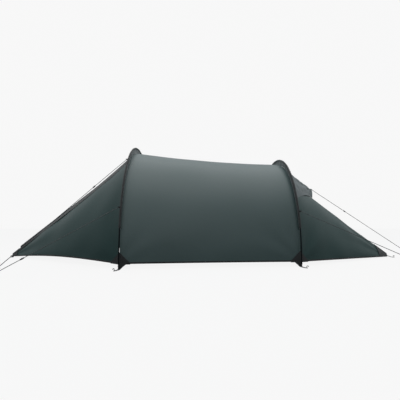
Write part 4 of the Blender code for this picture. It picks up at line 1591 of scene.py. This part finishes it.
@dataclass(frozen=True)
class Studio:
    """A pale floor, soft light from above and the camera at the height of a crouching viewer."""

    floor_half: float = 40.0
    camera_place: tuple[float, float, float] = (-0.113, -2.42, 0.30)
    lens: float = 22.23
    sensor: float = 36.0
    shift: tuple[float, float] = (0.0225, 0.067)
    backdrop: float = 0.935
    floor_grey: float = 0.035
    floor_glow: float = 0.89
    dome_stops: tuple[tuple[float, float], ...] = ((0.0, 0.10), (0.48, 0.22), (0.62, 0.55), (1.0, 1.0))

    def build(self) -> None:
        """Makes the floor, the lights, the sky and the camera."""
        bpy.context.scene.view_settings.view_transform = "Standard"
        self._floor()
        self._sky()
        self._softbox("overhead_softbox", (0.2, -0.4, 3.6), (0.0, 0.0, 0.0), (5.0, 4.0), 95.0)
        self._softbox("near_fill", (-0.4, -5.0, 2.6), (math.radians(66), 0.0, 0.0), (5.0, 2.5), 22.0)
        camera = bpy.data.objects.new("camera", bpy.data.cameras.new("camera"))
        camera.location = self.camera_place
        camera.rotation_euler = (math.pi / 2, 0.0, 0.0)
        camera.data.lens = self.lens
        camera.data.sensor_width = self.sensor
        camera.data.shift_x, camera.data.shift_y = self.shift
        bpy.context.scene.collection.objects.link(camera)
        bpy.context.scene.camera = camera

    def _floor(self) -> None:
        """A wide floor that is dark by itself and glows nearly white, so shadows on it are faint."""
        half = self.floor_half
        corners = np.array([[-half, -half, 0], [half, -half, 0], [half, half, 0], [-half, half, 0]])
        floor = make_mesh("floor", corners, [np.array([[0, 1, 2, 3]])], corners[:, :2])
        paint = Paint("pale_floor")
        material = paint.finish(
            Base_Color=(self.floor_grey, self.floor_grey, self.floor_grey, 1.0),
            Roughness=1.0,
            Specular_IOR_Level=0.0,
            Emission_Color=(1.0, 1.0, 1.0, 1.0),
            Emission_Strength=self.floor_glow,
        )
        floor.data.materials.append(material)
        floor.visible_diffuse = False
        floor.visible_glossy = False

    def _sky(self) -> None:
        """A plain pale backdrop to look at, and a dome that is brightest overhead to light by."""
        world = bpy.data.worlds.new("studio")
        world.use_nodes = True
        bpy.context.scene.world = world
        tree = world.node_tree
        way = tree.nodes.new("ShaderNodeTexCoord")
        parts = tree.nodes.new("ShaderNodeSeparateXYZ")
        scale = tree.nodes.new("ShaderNodeMapRange")
        ramp = tree.nodes.new("ShaderNodeValToRGB")
        path = tree.nodes.new("ShaderNodeLightPath")
        pick = tree.nodes.new("ShaderNodeMix")
        pick.data_type = "RGBA"
        pick.inputs[7].default_value = (self.backdrop, self.backdrop, self.backdrop, 1.0)
        scale.inputs[1].default_value = -1.0
        while len(ramp.color_ramp.elements) < len(self.dome_stops):
            ramp.color_ramp.elements.new(1.0)
        for element, (place, grey) in zip(ramp.color_ramp.elements, self.dome_stops):
            element.position = place
            element.color = (grey * 0.95, grey, grey * 1.02, 1.0)
        tree.links.new(way.outputs["Generated"], parts.inputs[0])
        tree.links.new(parts.outputs[2], scale.inputs[0])
        tree.links.new(scale.outputs[0], ramp.inputs[0])
        tree.links.new(ramp.outputs[0], pick.inputs[6])
        tree.links.new(path.outputs["Is Camera Ray"], pick.inputs[0])
        tree.links.new(pick.outputs[2], tree.nodes["Background"].inputs[0])

    @staticmethod
    def _softbox(
        name: str,
        place: tuple[float, float, float],
        turn: tuple[float, float, float],
        size: tuple[float, float],
        power: float,
    ) -> None:
        """One soft rectangular light."""
        light = bpy.data.lights.new(name, "AREA")
        light.shape = "RECTANGLE"
        light.size, light.size_y = size
        light.energy = power
        made = bpy.data.objects.new(name, light)
        made.location = place
        made.rotation_euler = turn
        bpy.context.scene.collection.objects.link(made)


def main() -> None:
    """Builds the stage and every piece of the tent."""
    logging.basicConfig(level=logging.INFO, format="%(message)s")
    Studio().build()
    finishes = Finishes()
    Guylines(finishes).build()
    Fly(finishes).build()
    Vent(finishes).build()
    PorchZip(finishes).build()
    for end in End:
        HoopSet(finishes, end).build()
        for side in Side:
            Foot(finishes, end, side).build()
    Tip(finishes, End.FRONT, last_share=0.935, centre_gap=0.0065, strap_length=0.022).build()
    Tip(finishes, End.REAR, last_share=0.864, centre_gap=0.0008, strap_length=0.078).build()
    InnerTent(finishes).build()


if __name__ == "__main__":
    main()
